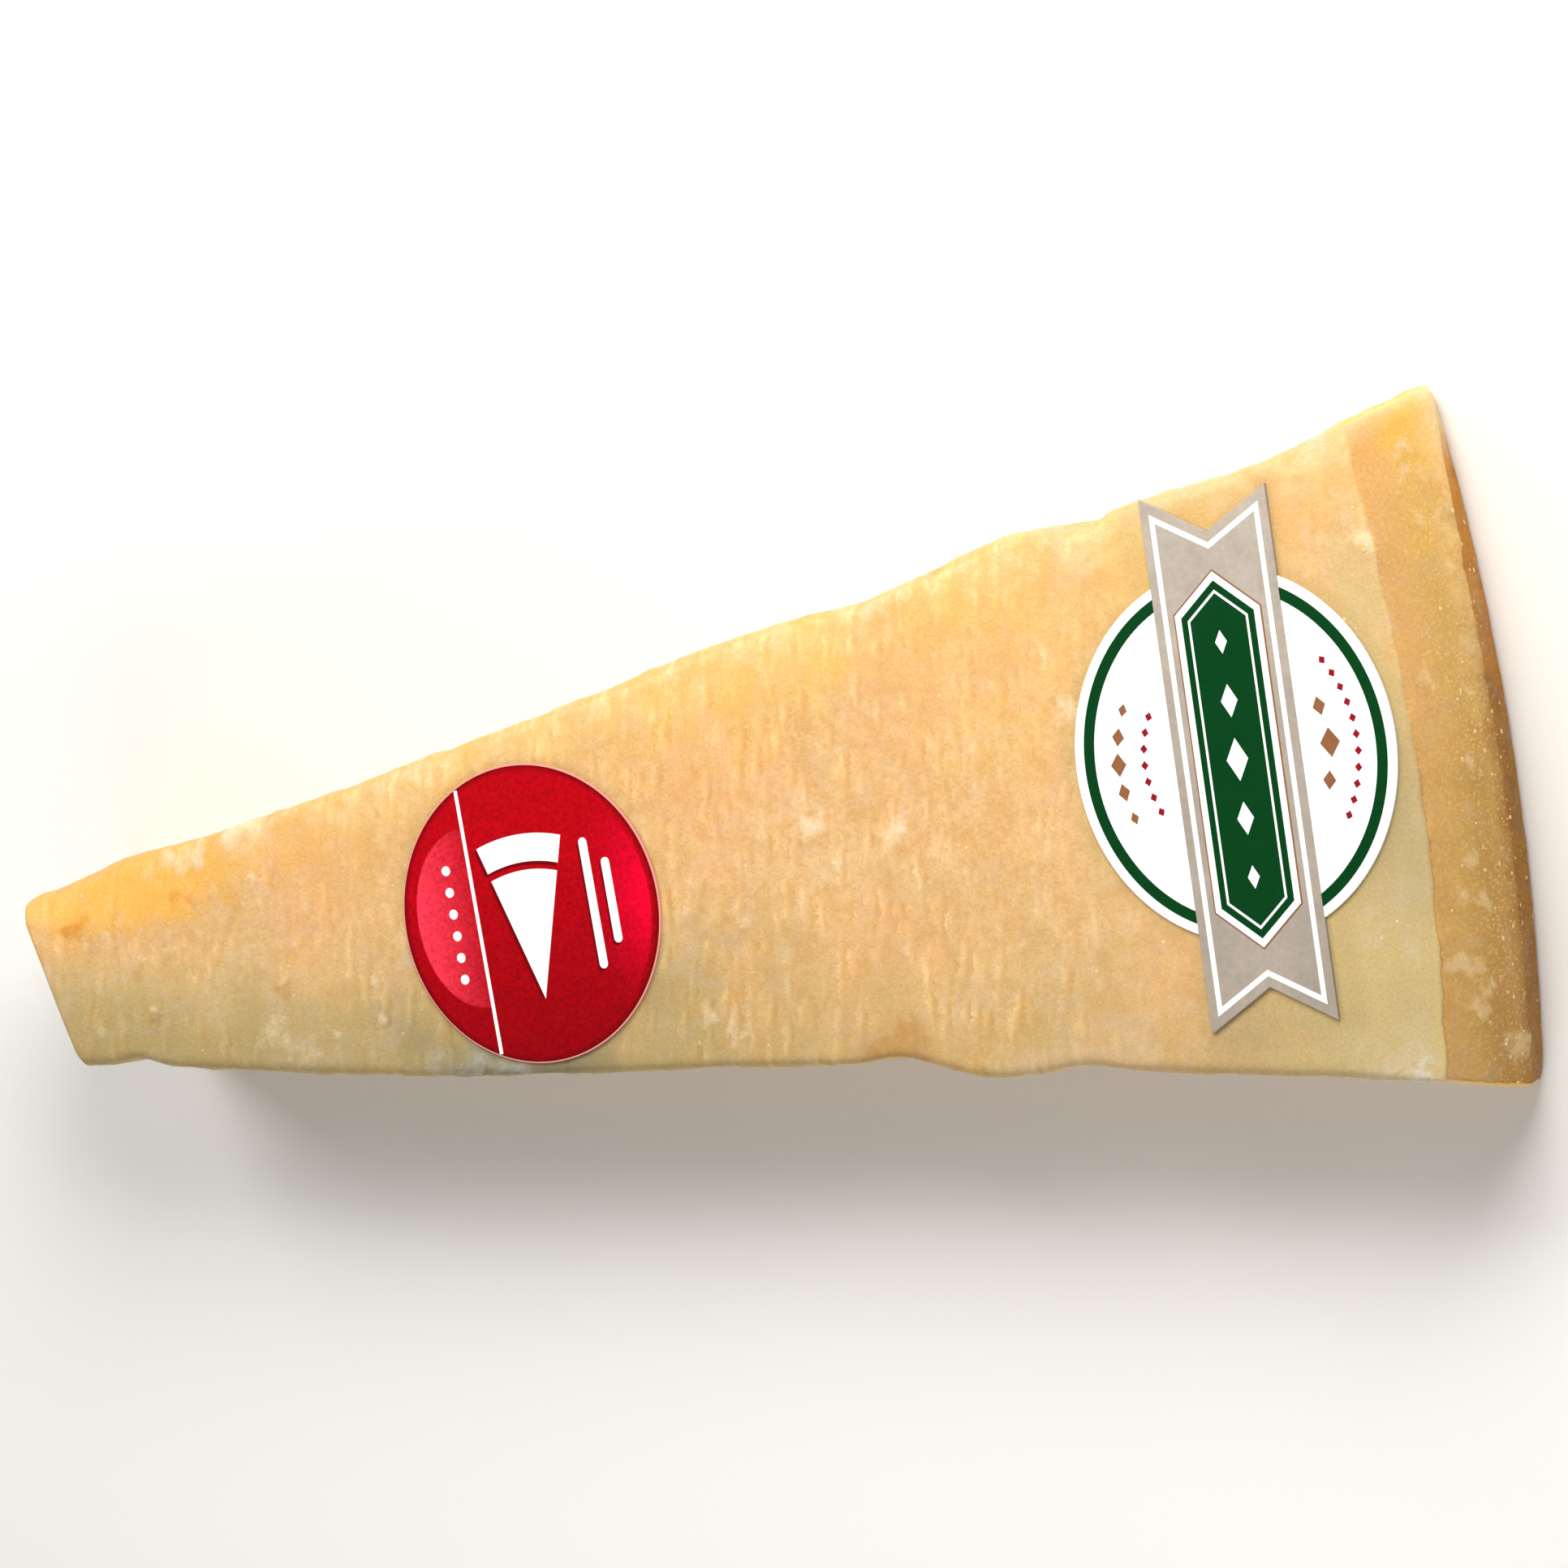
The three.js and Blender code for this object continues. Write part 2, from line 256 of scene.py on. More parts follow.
def wedge_places(along, lateral, z):
    """Where the block's places go in the wedge: x, y, z round the wheel's axis."""
    near_heel = smoothstep(along, LENGTH - HEEL_FLARE_REACH, LENGTH)
    half_width = (TIP_RADIUS + along) * HALF_ANGLE
    up = z / THICKNESS
    left_radius, right_radius = (
        lerp(lerp(tip, CUT_EDGE, smoothstep(along, 0, TIP_CORNER_REACH)),
             lerp(heel_base, HEEL_CORNER_TOP, up), near_heel)
        for tip, heel_base in ((TIP_CORNER_LEFT, HEEL_CORNER_BASE_LEFT),
                               (TIP_CORNER_RIGHT, HEEL_CORNER_BASE_RIGHT)))
    heel_edge = lerp(BASE_EDGE, RIND_EDGE, smoothstep(up, 0.1, 0.9))
    heel_radius = lerp(heel_edge, left_radius, smoothstep(lateral / half_width, 0.7, 0.95))
    top_radius = lerp(CUT_EDGE, RIND_EDGE, near_heel)
    a, l, h = round_off(
        (along, lateral, z), (0, -half_width, 0), (LENGTH, half_width, THICKNESS),
        (TIP_EDGE, right_radius, BASE_EDGE), (heel_radius, left_radius, top_radius))

    across = l / half_width
    low = 1 - h / THICKNESS
    waves = np.where(across > 0, edge_waves(LEFT_EDGE_WAVES, TIP_RADIUS + a),
                     edge_waves(RIGHT_EDGE_WAVES, TIP_RADIUS + a))
    flare_depth = np.minimum(low / (1 - RIDGE_HEIGHT / THICKNESS), 1)
    flare = np.where(across > 0, HEEL_FLARE_LEFT, HEEL_FLARE_RIGHT)
    heel_spread = flare * np.clip((a - LENGTH) / HEEL_FLARE_REACH + 1, 0, 1) ** 2
    outward = (waves * lerp(WAVES_AT_BASE, 1, h / THICKNESS) * abs(across) ** 3
               + heel_spread * flare_depth * abs(across))
    sideways = l + np.sign(across) * outward

    ragged = LEDGE_RAGGED * (ripple(l, LEDGE_PITCHES[0]) * ripple(l, LEDGE_PITCHES[1]) - 0.4) * up ** 8
    rind_shift = rind_offset(h) + ragged + HEEL_SKEW * l
    tip_shift = l * l / (2 * TIP_RADIUS) - TIP_SKEW * l - TIP_BOW * (1 - across * across)
    radial = (TIP_RADIUS + a + rind_shift * smoothstep(a, LENGTH - RIND_REACH, LENGTH)
              + tip_shift * (1 - smoothstep(a, 0, TIP_REACH)))
    turn = sideways / (TIP_RADIUS + a)

    fade = 1 - smoothstep(a, FACET_LENGTH - FACET_FADE, FACET_LENGTH + FACET_FADE)
    facet_width = lerp(FACET_WIDTH_AT_TIP, FACET_WIDTH, np.clip(a / FACET_WIDENS_OVER, 0, 1))
    facet = fade * FACET_DROP * np.clip(1 - (half_width - l) / facet_width, 0, 1) ** 1.5
    topness = smoothstep(h, THICKNESS * FACET_FROM, THICKNESS)
    height = lerp(h, beside_ridge(h, across), near_heel) - facet * topness
    return radial * np.cos(turn), radial * np.sin(turn), height


def spread(index, count, length, edge):
    """Places along one side of the block: the given steps at both ends, even in between."""
    edge = np.array(edge)
    n = len(edge) - 1
    start = edge[np.clip(index, 0, n)]
    end = length - edge[np.clip(count - index, 0, n)]
    middle = edge[n] + (length - 2 * edge[n]) * (index - n) / (count - 2 * n)
    return np.where(index <= n, start, np.where(index >= count - n, end, middle))


def under_labels(x, y):
    """How near a place on the cut face is to a label: 1 under it, 0 well away from it."""
    round_gap = np.hypot(x - ROUND_AT.x, y - ROUND_AT.y) - ROUND_RADIUS
    badge_gap = np.hypot(x - BADGE_AT.x, y - BADGE_AT.y) - BADGE_RADII[1]
    ribbon_gap = np.maximum(
        abs(x - RIBBON_AT.x) - RIBBON_WIDTH / 2 - RIBBON_LENGTH / 2 * abs(RIBBON_TURN),
        abs(y - RIBBON_AT.y) - RIBBON_LENGTH / 2)
    return 1 - smoothstep(np.minimum(np.minimum(round_gap, badge_gap), ribbon_gap), 0, LABEL_MARGIN)


def in_frame(x, y, z):
    """Places in millimetres round the wheel's axis, as places in metres in the model's frame."""
    return np.stack([x * MM + WHEEL_AXIS.x, y * MM + WHEEL_AXIS.y, z * MM], -1)


def block_surface(cells):
    """The surface of a block of cells: the grid indices of its points, and its quads facing out."""
    index = np.stack(np.meshgrid(*(np.arange(n + 1) for n in cells), indexing="ij"), -1)
    skin = ((index == 0) | (index == np.array(cells))).any(-1)
    number = np.full(skin.shape, -1)
    number[skin] = np.arange(skin.sum())
    quads = []
    for axis in range(3):
        for end in (0, cells[axis]):
            sheet = np.take(number, end, axis)
            quad = np.stack([sheet[:-1, :-1], sheet[1:, :-1], sheet[1:, 1:], sheet[:-1, 1:]], -1)
            outward = (end > 0) != (axis == 1)
            quads.append(quad.reshape(-1, 4) if outward else quad.reshape(-1, 4)[:, ::-1])
    return index[skin], np.concatenate(quads)


def new_piece(name, mesh):
    piece = bpy.data.objects.new(name, mesh)
    bpy.context.scene.collection.objects.link(piece)
    return piece


def run_nodes(piece, tree, values):
    """Runs a geometry tree on a piece and keeps its result as the piece's plain mesh."""
    modifier = piece.modifiers.new(tree.name, "NODES")
    modifier.node_group = tree
    for socket in tree.interface.items_tree:
        if socket.in_out == "INPUT" and socket.name in values:
            modifier[socket.identifier] = values[socket.name]
    depsgraph = bpy.context.evaluated_depsgraph_get()
    grown = bpy.data.meshes.new_from_object(
        piece.evaluated_get(depsgraph), preserve_all_data_layers=True, depsgraph=depsgraph)
    if not len(grown.polygons):
        raise RuntimeError(f"{tree.name} made nothing on {piece.name}")
    piece.modifiers.clear()
    piece.data = grown
    return piece


def new_tree(name, inputs):
    """A geometry tree with named inputs: returns the tree and what it is given."""
    tree = bpy.data.node_groups.new(name, "GeometryNodeTree")
    tree.interface.new_socket("Geometry", in_out="INPUT", socket_type="NodeSocketGeometry")
    for label, kind in inputs.items():
        tree.interface.new_socket(label, in_out="INPUT", socket_type="NodeSocket" + kind)
    tree.interface.new_socket("Geometry", in_out="OUTPUT", socket_type="NodeSocketGeometry")
    return tree, add(tree, "NodeGroupInput", out=None)


def make_real(tree, geometry, material):
    """Ends a tree: copies become plain mesh, and the mesh takes its material."""
    solid = add(tree, "GeometryNodeRealizeInstances", {0: geometry})
    dressed = add(tree, "GeometryNodeSetMaterial", {0: solid, "Material": material})
    add(tree, "NodeGroupOutput", {0: dressed}, out=None)


def push_out(tree, given, height, name, value):
    """Ends a tree: the given surface moves out by a height and keeps a value as an attribute."""
    normal = add(tree, "GeometryNodeInputNormal")
    offset = add(tree, "ShaderNodeVectorMath", {0: normal, "Scale": height}, operation="SCALE")
    moved = add(tree, "GeometryNodeSetPosition", {"Geometry": given["Geometry"], "Offset": offset})
    kept = add(tree, "GeometryNodeStoreNamedAttribute", {"Geometry": moved, "Name": name, "Value": value},
               data_type="FLOAT", domain="POINT")
    make_real(tree, kept, given["Material"])


def hand_in(piece, slot, *nodes):
    """Ties a finished piece to the frame: it rides the root and stands for CAD nodes. The slot is not used.
    """
    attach(piece, "root")
    if nodes:
        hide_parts(*nodes)
    return piece


# ---------------------------------------------------------------- cheese

EDGE_STEPS = (0, 0.15, 0.35, 0.6, 0.9, 1.3, 1.8)
CHEESE_CELLS = (320, 92, 34)
FILM_CELLS = (210, 70, 24)

# Soft marks on the cut face: place, radius, and how strong. Pale ones are dry paste, brown ones stains, but
# the two brown ones at 153.6 and 158 mm by the right edge are painted shadow in a hollow of that edge.
PALE_SPOTS = (
    (151.4, 2.1, 1.3, 1.0), (160.7, 0.7, 1.3, 0.9), (141.6, -5.5, 1.0, 0.6), (181.9, 9.7, 1.9, 0.7),
    (75.2, 9.9, 1.3, 0.7), (77.2, 10.1, 1.2, 0.7), (79.4, 10.3, 1.3, 0.7), (72.7, 9.8, 0.9, 0.6),
    (80.0, 9.0, 0.8, 0.7), (83.6, 12.0, 1.2, 0.7), (86.6, 12.2, 1.2, 0.7), (90.1, 12.2, 1.2, 0.5),
    (218.2, 20.2, 1.2, 0.7), (216.8, 21.4, 0.9, 0.6), (98.3, -9.7, 0.5, 1.0), (85.7, 6.6, 0.45, 1.0),
    (138.0, -16.2, 1.3, 0.6), (135.9, -14.7, 1.1, 0.5), (159.5, -11.0, 0.8, 0.6), (155.9, 3.7, 0.9, 0.5),
    (164.6, -2.0, 0.8, 0.5), (152.6, -2.3, 0.7, 0.5), (70.3, 0.9, 0.5, 0.9), (70.9, -4.2, 0.5, 0.8),
    (86.0, 1.1, 0.5, 0.9), (86.6, -3.4, 0.5, 0.7), (97.7, -5.3, 0.7, 0.8), (91.8, -10.1, 0.6, 0.8),
    (84.5, -8.3, 2.6, 0.45), (64.5, -6.0, 1.2, 0.4), (88.5, -11.0, 2.4, 0.4), (84.5, 12.0, 2.6, 0.6),
)
BROWN_SPOTS = (
    (63.8, 5.4, 1.3, 1.0), (62.6, 4.6, 1.0, 0.8), (75.9, 5.8, 1.2, 0.8), (78.0, 5.9, 1.1, 0.8),
    (158.0, -20.6, 3.2, 1.3), (153.6, -21.0, 2.2, 1.0), (136.4, -10.2, 2.2, 0.6), (151.8, 0.4, 1.0, 0.7),
    (161.6, -1.2, 1.0, 0.7), (155.6, 5.4, 1.4, 0.5), (69.9, -0.4, 1.1, 0.8), (70.5, -5.6, 1.2, 0.7),
    (86.6, -4.6, 1.1, 0.8), (92.2, -6.0, 1.1, 0.7), (171.0, 25.6, 2.0, 0.7), (152.6, 7.0, 1.6, 0.5),
    (98.4, -1.0, 2.2, 0.5), (98.6, 4.0, 2.2, 0.4),
)
# Places where the film stands off the cheese and looks milky, partly real milky film and partly a painted
# reflection of glints on the film.
MILKY_FILM_AND_GLINT_SPOTS = (
    (213.4, -31.0, 2.6, 1.0), (209.0, -31.4, 2.0, 0.6), (184.0, 27.2, 1.8, 0.7), (194.5, 29.6, 2.4, 0.8),
    (199.5, 30.6, 2.4, 1.0), (204.5, 31.4, 2.2, 0.8), (108.0, -16.2, 2.0, 0.9), (112.5, -16.8, 2.0, 0.9),
    (101.9, -4.0, 0.9, 1.0), (89.0, 12.4, 1.8, 0.4), (214.0, 31.4, 1.8, 0.7), (59.6, 0.6, 1.4, 0.5),
    (103.5, -15.2, 1.8, 0.6), (86.5, -12.6, 2.4, 0.35), (93.0, -13.4, 1.8, 0.3),
)
# Painted shade: places beside the labels, along the rind and by the right edge; below the round label it
# also stands for a dark painted reflection in the film.
SHADE_SPOTS = (
    (105.0, -15.4, 3.0, 0.5), (109.5, -16.0, 3.5, 0.9), (113.5, -16.4, 3.5, 1.0), (117.5, -16.6, 3.5, 1.0),
    (121.5, -16.2, 2.6, 0.6), (124.5, -15.0, 2.4, 0.35), (99.0, -8.5, 2.4, 0.5), (97.8, -3.5, 2.0, 0.4),
    (101.5, -12.0, 2.6, 0.5), (130.0, -11.0, 2.4, 0.3), (217.0, 0.0, 4.0, 0.3), (217.0, -6.5, 5.0, 0.4),
    (216.5, -13.0, 5.0, 0.35), (195.5, -25.5, 5.0, 0.35), (205.0, -27.0, 4.5, 0.25),
    (214.0, -24.5, 4.0, 0.2),
)
# Places on the cut face where loose crumbs lie, and how thick against the rind's own grains.
CRUMB_SPOTS = ((218.0, 20.4, 1.1, 1.0), (217.2, 22.0, 0.9, 0.8))
CRUMB_DENSITY = 5
# Pale dry marks on the rind: degrees round the wheel's axis, height above the base, radius across.
RIND_MARKS = (
    (7.5, 12.4, 0.9), (7.4, 10.1, 0.6), (6.8, 13.7, 0.8), (6.7, 10.0, 0.7), (5.6, 12.3, 0.7),
    (5.7, 8.6, 0.7), (4.2, 9.2, 0.7), (1.7, 17.2, 0.8), (1.2, 10.6, 0.6), (-0.5, 12.0, 0.8),
    (-3.0, 14.7, 1.0), (-3.9, 16.6, 0.8), (-4.2, 13.1, 0.8), (-5.5, 19.0, 1.1), (-5.8, 16.4, 1.2),
    (-6.3, 12.9, 0.9), (-6.8, 15.0, 0.9), (-8.0, 8.0, 1.2), (-7.7, 6.5, 0.7),
)
MARK_STRETCH = 1.8  # such marks are taller than wide
# The rind's grains: heights between which they set in and thin out, how thick in the band and off it.
GRAINS_FROM = (2, 5)
GRAINS_TO = (10, 15)
GRAINS_IN_BAND = 0.7
GRAINS_ELSEWHERE = 0.06
RUBBED_SIDE = (0.45, 0.8)  # share of the half width over which the left corner loses its grains
TOP_RIM = (1.4, 0.2)  # depths between which the split sides turn into the cut face
# Tints that multiply the colour below them.
TRICKLE_PALE = (1.13, 1.15, 1.2, 1)
# The ochre tint is the trickles' painted shadow.
TRICKLE_SHADOW_OCHRE = (0.93, 0.86, 0.7, 1)
# Brown stains, and painted shadow in a hollow of the right edge.
STAIN_AND_SHADOW_TINT = (0.86, 0.72, 0.5, 1)
SHADE_TINT = (0.62, 0.69, 0.86, 1)
# The rind's tint is painted shade, lower down and towards the right.
RIND_SHADE_TINT = (0.83, 0.71, 0.56, 1)
FOOT_TINT = (0.72, 0.64, 0.5, 1)
# Trickles slant a little across the wedge. Fine ones lie over broader smudges: millimetres on each axis.
TRICKLE_SLANT = -0.213
FINE_TRICKLE = (1.0, 5.5, 4.0)
SMUDGE = (2.4, 7.0, 5.0)


def spots(marks, x, y):
    """Soft marks with uneven outlines."""
    x, y = (x + 0.3 * ripple(y, 1.9, x / 13) + 0.4 * ripple(y, 4.7, x / 19),
            y + 0.3 * ripple(x, 2.3, y / 11) + 0.4 * ripple(x, 5.3, y / 17))
    return np.minimum(sum(strength * bell(np.hypot(x - sx, y - sy), radius * 0.7)
                          for sx, sy, radius, strength in marks), 1)


def wedge_mesh(name, cells):
    """The wedge's skin as quads, with the attributes that its relief and its materials follow."""
    index, quads = block_surface(cells)
    along = spread(index[:, 0], cells[0], LENGTH, EDGE_STEPS)
    half_width = (TIP_RADIUS + along) * HALF_ANGLE
    lateral = spread(index[:, 1], cells[1], 2 * half_width, EDGE_STEPS) - half_width
    z = spread(index[:, 2], cells[2], THICKNESS, EDGE_STEPS)
    x, y, height = wedge_places(along, lateral, z)

    mesh = bpy.data.meshes.new(name)
    mesh.from_pydata(in_frame(x, y, height).tolist(), [], quads.tolist())
    mesh.shade_smooth()

    from_heel = LENGTH - along
    from_side = half_width - abs(lateral)
    on_rind = (index[:, 0] == cells[0]) | (index[:, 2] == 0)
    inside = np.where(index[:, 2] == 0, np.minimum(from_side, along), np.minimum(from_side, THICKNESS - z))
    outside = np.where(index[:, 2] == cells[2], from_heel, np.minimum(from_heel, z))
    on_top = smoothstep(THICKNESS - z, *TOP_RIM)
    round_rind = math.radians(1) * WHEEL_RADIUS
    marks = [(degrees * round_rind, mark_height / MARK_STRETCH, radius, 1.0)
             for degrees, mark_height, radius in RIND_MARKS]
    heel = index[:, 0] == cells[0]
    marked = spots(marks, np.arctan2(y, x) * WHEEL_RADIUS, height / MARK_STRETCH) * heel
    rubbed = smoothstep(lateral / half_width, *RUBBED_SIDE)
    in_band = smoothstep(height, *GRAINS_FROM) * (1 - smoothstep(height, *GRAINS_TO))
    grainy = heel * (GRAINS_ELSEWHERE + GRAINS_IN_BAND * in_band) * (1 - rubbed) + marked
    grainy += CRUMB_DENSITY * spots(CRUMB_SPOTS, x, y) * on_top

    # from_rind is above 0 on the rind and below 0 off it. across is 1 at the left edge, -1 at the right.
    values = {
        "from_rind": np.where(on_rind, inside, -outside),
        "cut_face": on_top,
        "across": lateral / half_width,
        "from_left": half_width - lateral,
        "over_ridge": z - RIDGE_HEIGHT,
        "calm": under_labels(x, y) * on_top,
        "pale": spots(PALE_SPOTS, x, y) * on_top,
        "brown": spots(BROWN_SPOTS, x, y) * on_top,
        "shade": spots(SHADE_SPOTS, x, y) * smoothstep(height, THICKNESS - 3, THICKNESS - 0.5),
        "haze": spots(MILKY_FILM_AND_GLINT_SPOTS, x, y) * smoothstep(height, THICKNESS - 6, THICKNESS - 1),
        "marks": marked,
        "grainy": grainy,
    }
    for name, value in values.items():
        mesh.attributes.new(name, "FLOAT", "POINT").data.foreach_set("value", value.astype(np.float32))
    return mesh


def relief_tree():
    """Relief of the broken paste: craggy on the split sides, barely uneven on the cut face."""
    tree, given = new_tree("Paste relief", {
        "Crag depth": "Float", "Crag size": "Float", "Face depth": "Float", "Rind depth": "Float",
        "Spot height": "Float", "Material": "Material",
    })
    place = add(tree, "GeometryNodeInputPosition")
    mm = add(tree, "ShaderNodeVectorMath", {0: place, "Scale": 1 / MM}, operation="SCALE")
    cut_face, calm, from_rind, pale, marks = (
        add(tree, "GeometryNodeInputNamedAttribute", {"Name": name})
        for name in ("cut_face", "calm", "from_rind", "pale", "marks"))
    off_face, free = (add(tree, "ShaderNodeMath", {0: 1.0, 1: share}, operation="SUBTRACT")
                      for share in (cut_face, calm))

    # Flakes: paste breaks in lumps of a few millimetres with sharper creases between them.
    crag_scale = add(tree, "ShaderNodeMath", {0: 1.0, 1: given["Crag size"]}, operation="DIVIDE")
    lumps = add(tree, "ShaderNodeTexNoise", {
        "Vector": mm, "Scale": crag_scale, "Detail": 4.0, "Roughness": 0.55, "Distortion": 0.4,
    })
    off_rind = add(tree, "ShaderNodeMapRange", {"Value": from_rind, 1: -0.2, 2: -1.2})
    sides = add(tree, "ShaderNodeMath", {0: off_rind, 1: off_face}, operation="MULTIPLY")

    # The cut face: shallow waves left across the wedge, and dry spots that stand a little proud.
    across = add(tree, "ShaderNodeVectorMath", {0: mm, 1: (0.16, 0.035, 0.1)}, operation="MULTIPLY")
    waves = add(tree, "ShaderNodeTexNoise", {
        "Vector": across, "Scale": 1.0, "Detail": 3.0, "Roughness": 0.5, "Distortion": 0.5,
    })
    proud = add(tree, "ShaderNodeMath", {0: pale, 1: marks}, operation="MAXIMUM")
    proud = add(tree, "ShaderNodeMath", {0: proud, 1: given["Spot height"]}, operation="MULTIPLY")

    # The rind: dry and a little lumpy.
    on_rind = add(tree, "ShaderNodeMapRange", {"Value": from_rind, 1: 0.2, 2: 1.5})
    dryness = add(tree, "ShaderNodeTexNoise", {"Vector": mm, "Scale": 0.4, "Detail": 4.0, "Roughness": 0.6})

    # Each relief is its noise less a level, where it belongs, times its depth.
    heights = []
    for noise, level, where, depth in (
        (lumps, 0.5, sides, "Crag depth"),
        (waves, 0.75, cut_face, "Face depth"),
        (dryness, 0.6, on_rind, "Rind depth"),
    ):
        height = add(tree, "ShaderNodeMath", {0: noise, 1: level}, operation="SUBTRACT")
        for factor in (where, given[depth]):
            height = add(tree, "ShaderNodeMath", {0: height, 1: factor}, operation="MULTIPLY")
        heights.append(height)
    crag, hollow, dry = heights
    hollow = add(tree, "ShaderNodeMath", {0: hollow, 1: proud}, operation="ADD")
    hollow = add(tree, "ShaderNodeMath", {0: hollow, 1: free}, operation="MULTIPLY")
    total = add(tree, "ShaderNodeMath", {0: crag, 1: hollow}, operation="ADD")
    total = add(tree, "ShaderNodeMath", {0: total, 1: dry}, operation="ADD")
    push_out(tree, given, total, "lumps", lumps)
    return tree


def cheese_material(look):
    """Aged grana paste and its rind: waxy, finely granular, with crumbly pale trickles across the cut.

    The paste is yellow at its left side and more khaki at the right, partly its own tone and partly painted
    light and shade, with a painted highlight along its left edge. The rind is darker, drier and granular,
    with a ridge near the base, pale partly from rubbing and partly as a painted highlight, and brown below
    it, partly painted shade.
    """
    material, tree = new_material("aged_grana_paste_and_rind")
    place = add(tree, "ShaderNodeTexCoord", out="Object")
    mm = add(tree, "ShaderNodeVectorMath", {0: place, 1: (1 / MM, 1 / MM, 1 / MM / MARK_STRETCH)},
             operation="MULTIPLY")
    x = add(tree, "ShaderNodeSeparateXYZ", {0: mm})
    from_rind, cut_face, across, from_left, over_ridge, calm, pale, brown, shade, marks, lumps = (
        add(tree, "ShaderNodeAttribute", out="Fac", attribute_name=name)
        for name in ("from_rind", "cut_face", "across", "from_left", "over_ridge", "calm", "pale", "brown",
                     "shade", "marks", "lumps"))

    # Noises: drifts a couple of centimetres wide, clouds of 3 mm, mottle of 1 mm, grain of 0.3 mm.
    (drift, drift_tints), (clouds, _), (mottle, mottle_tints), (grain, grain_tints) = (
        add(tree, "ShaderNodeTexNoise", {
            "Vector": mm, "Scale": scale, "Detail": detail, "Roughness": roughness, "Distortion": distortion,
        }, out=None)
        for scale, detail, roughness, distortion in (
            (0.06, 3.0, 0.55, 0.0), (0.3, 5.0, 0.6, 0.3), (0.95, 4.0, 0.65, 0.4), (3.2, 3.0, 0.7, 0.0)))
    body = add(tree, "ShaderNodeMath", {0: mottle, 1: clouds}, operation="ADD")
    smear = add(tree, "ShaderNodeMapRange", {"Value": body, 1: 0.7, 2: 1.3, 3: -0.45, 4: 0.45}, clamp=False)
    body = add(tree, "ShaderNodeMapRange", {"Value": body, 1: 0.8, 2: 1.2})

    # How far left, how far in from the left edge, how high over the ridge and how far past the rind's
    # line a place is, each made uneven by a noise.
    uneven = []
    for measure, noise, least, most in (
        (across, drift, -0.3, 0.3), (from_left, clouds, -2.0, 2.0), (over_ridge, clouds, -0.45, 0.45),
        (from_rind, mottle, -0.35, 0.2),
    ):
        shift = add(tree, "ShaderNodeMapRange", {"Value": noise, 1: 0.3, 2: 0.7, 3: least, 4: most})
        uneven.append(add(tree, "ShaderNodeMath", {0: measure, 1: shift}, operation="ADD"))
    side, ragged_left, level, border = uneven

    # Trickles: crumbly pale strokes, 0.4 mm wide and 3 to 8 mm long, over broader smudges, each with an
    # ochre copy just beside it as its painted shadow.
    crumble = add(tree, "ShaderNodeMix", {0: 0.4, 4: mottle_tints, 5: grain_tints}, out=1,
                  data_type="VECTOR")
    crumble = add(tree, "ShaderNodeVectorMath", {0: crumble, 1: (0.5, 0.5, 0.5)}, operation="SUBTRACT")
    crumble = add(tree, "ShaderNodeVectorMath", {0: crumble, "Scale": 2.5}, operation="SCALE")
    rough_place = add(tree, "ShaderNodeVectorMath", {0: mm, 1: crumble}, operation="ADD")
    trickles = []
    for aside, away, size, strength, tint in (
        (0.0, 9.0, SMUDGE, 0.8, TRICKLE_PALE), (0.6, 9.0, SMUDGE, 0.8, TRICKLE_SHADOW_OCHRE),
        (0.7, 0.0, FINE_TRICKLE, 1.0, TRICKLE_SHADOW_OCHRE), (0.0, 0.0, FINE_TRICKLE, 1.0, TRICKLE_PALE),
    ):
        stroke = add(tree, "ShaderNodeMapping", {
            "Vector": rough_place, "Location": (aside, away, 0), "Rotation": (0, 0, TRICKLE_SLANT),
            "Scale": size,
        }, vector_type="TEXTURE")
        stroke = add(tree, "ShaderNodeTexNoise", {"Vector": stroke, "Scale": 1.0, "Detail": 1.0})
        trickles.append((tint, "MULTIPLY", [
            (stroke, 0.55, 0.64, 0, strength), (x, -40, -10, 0.75, 1), (x, 32, 52, 1, 0.15),
            (clouds, 0.42, 0.58, 0.15, 1)]))

    # White crystals a quarter of a millimetre across, rarer ochre pits, and marks broken up by the clouds.
    specks = add(tree, "ShaderNodeTexVoronoi", {"Vector": mm, "Scale": 0.5}, out=None)
    speck_size = add(tree, "ShaderNodeSeparateColor", {0: specks["Color"]})
    speck_size = add(tree, "ShaderNodeMapRange", {"Value": speck_size, 1: 0.5, 2: 1.0, 3: 0.0, 4: 0.09})
    speck = add(tree, "ShaderNodeMath", {0: specks["Distance"], 1: speck_size}, operation="LESS_THAN")
    pit = add(tree, "ShaderNodeTexVoronoi", {"Vector": rough_place, "Scale": 0.19}, out="Distance")
    stain_and_shadow = add(tree, "ShaderNodeMath", {0: brown, 1: smear}, operation="ADD")
    dried = add(tree, "ShaderNodeMath", {0: smear, 1: 0.7, 2: pale}, operation="MULTIPLY_ADD")
    blush = add(tree, "ShaderNodeSeparateColor", {0: drift_tints}, out=1)

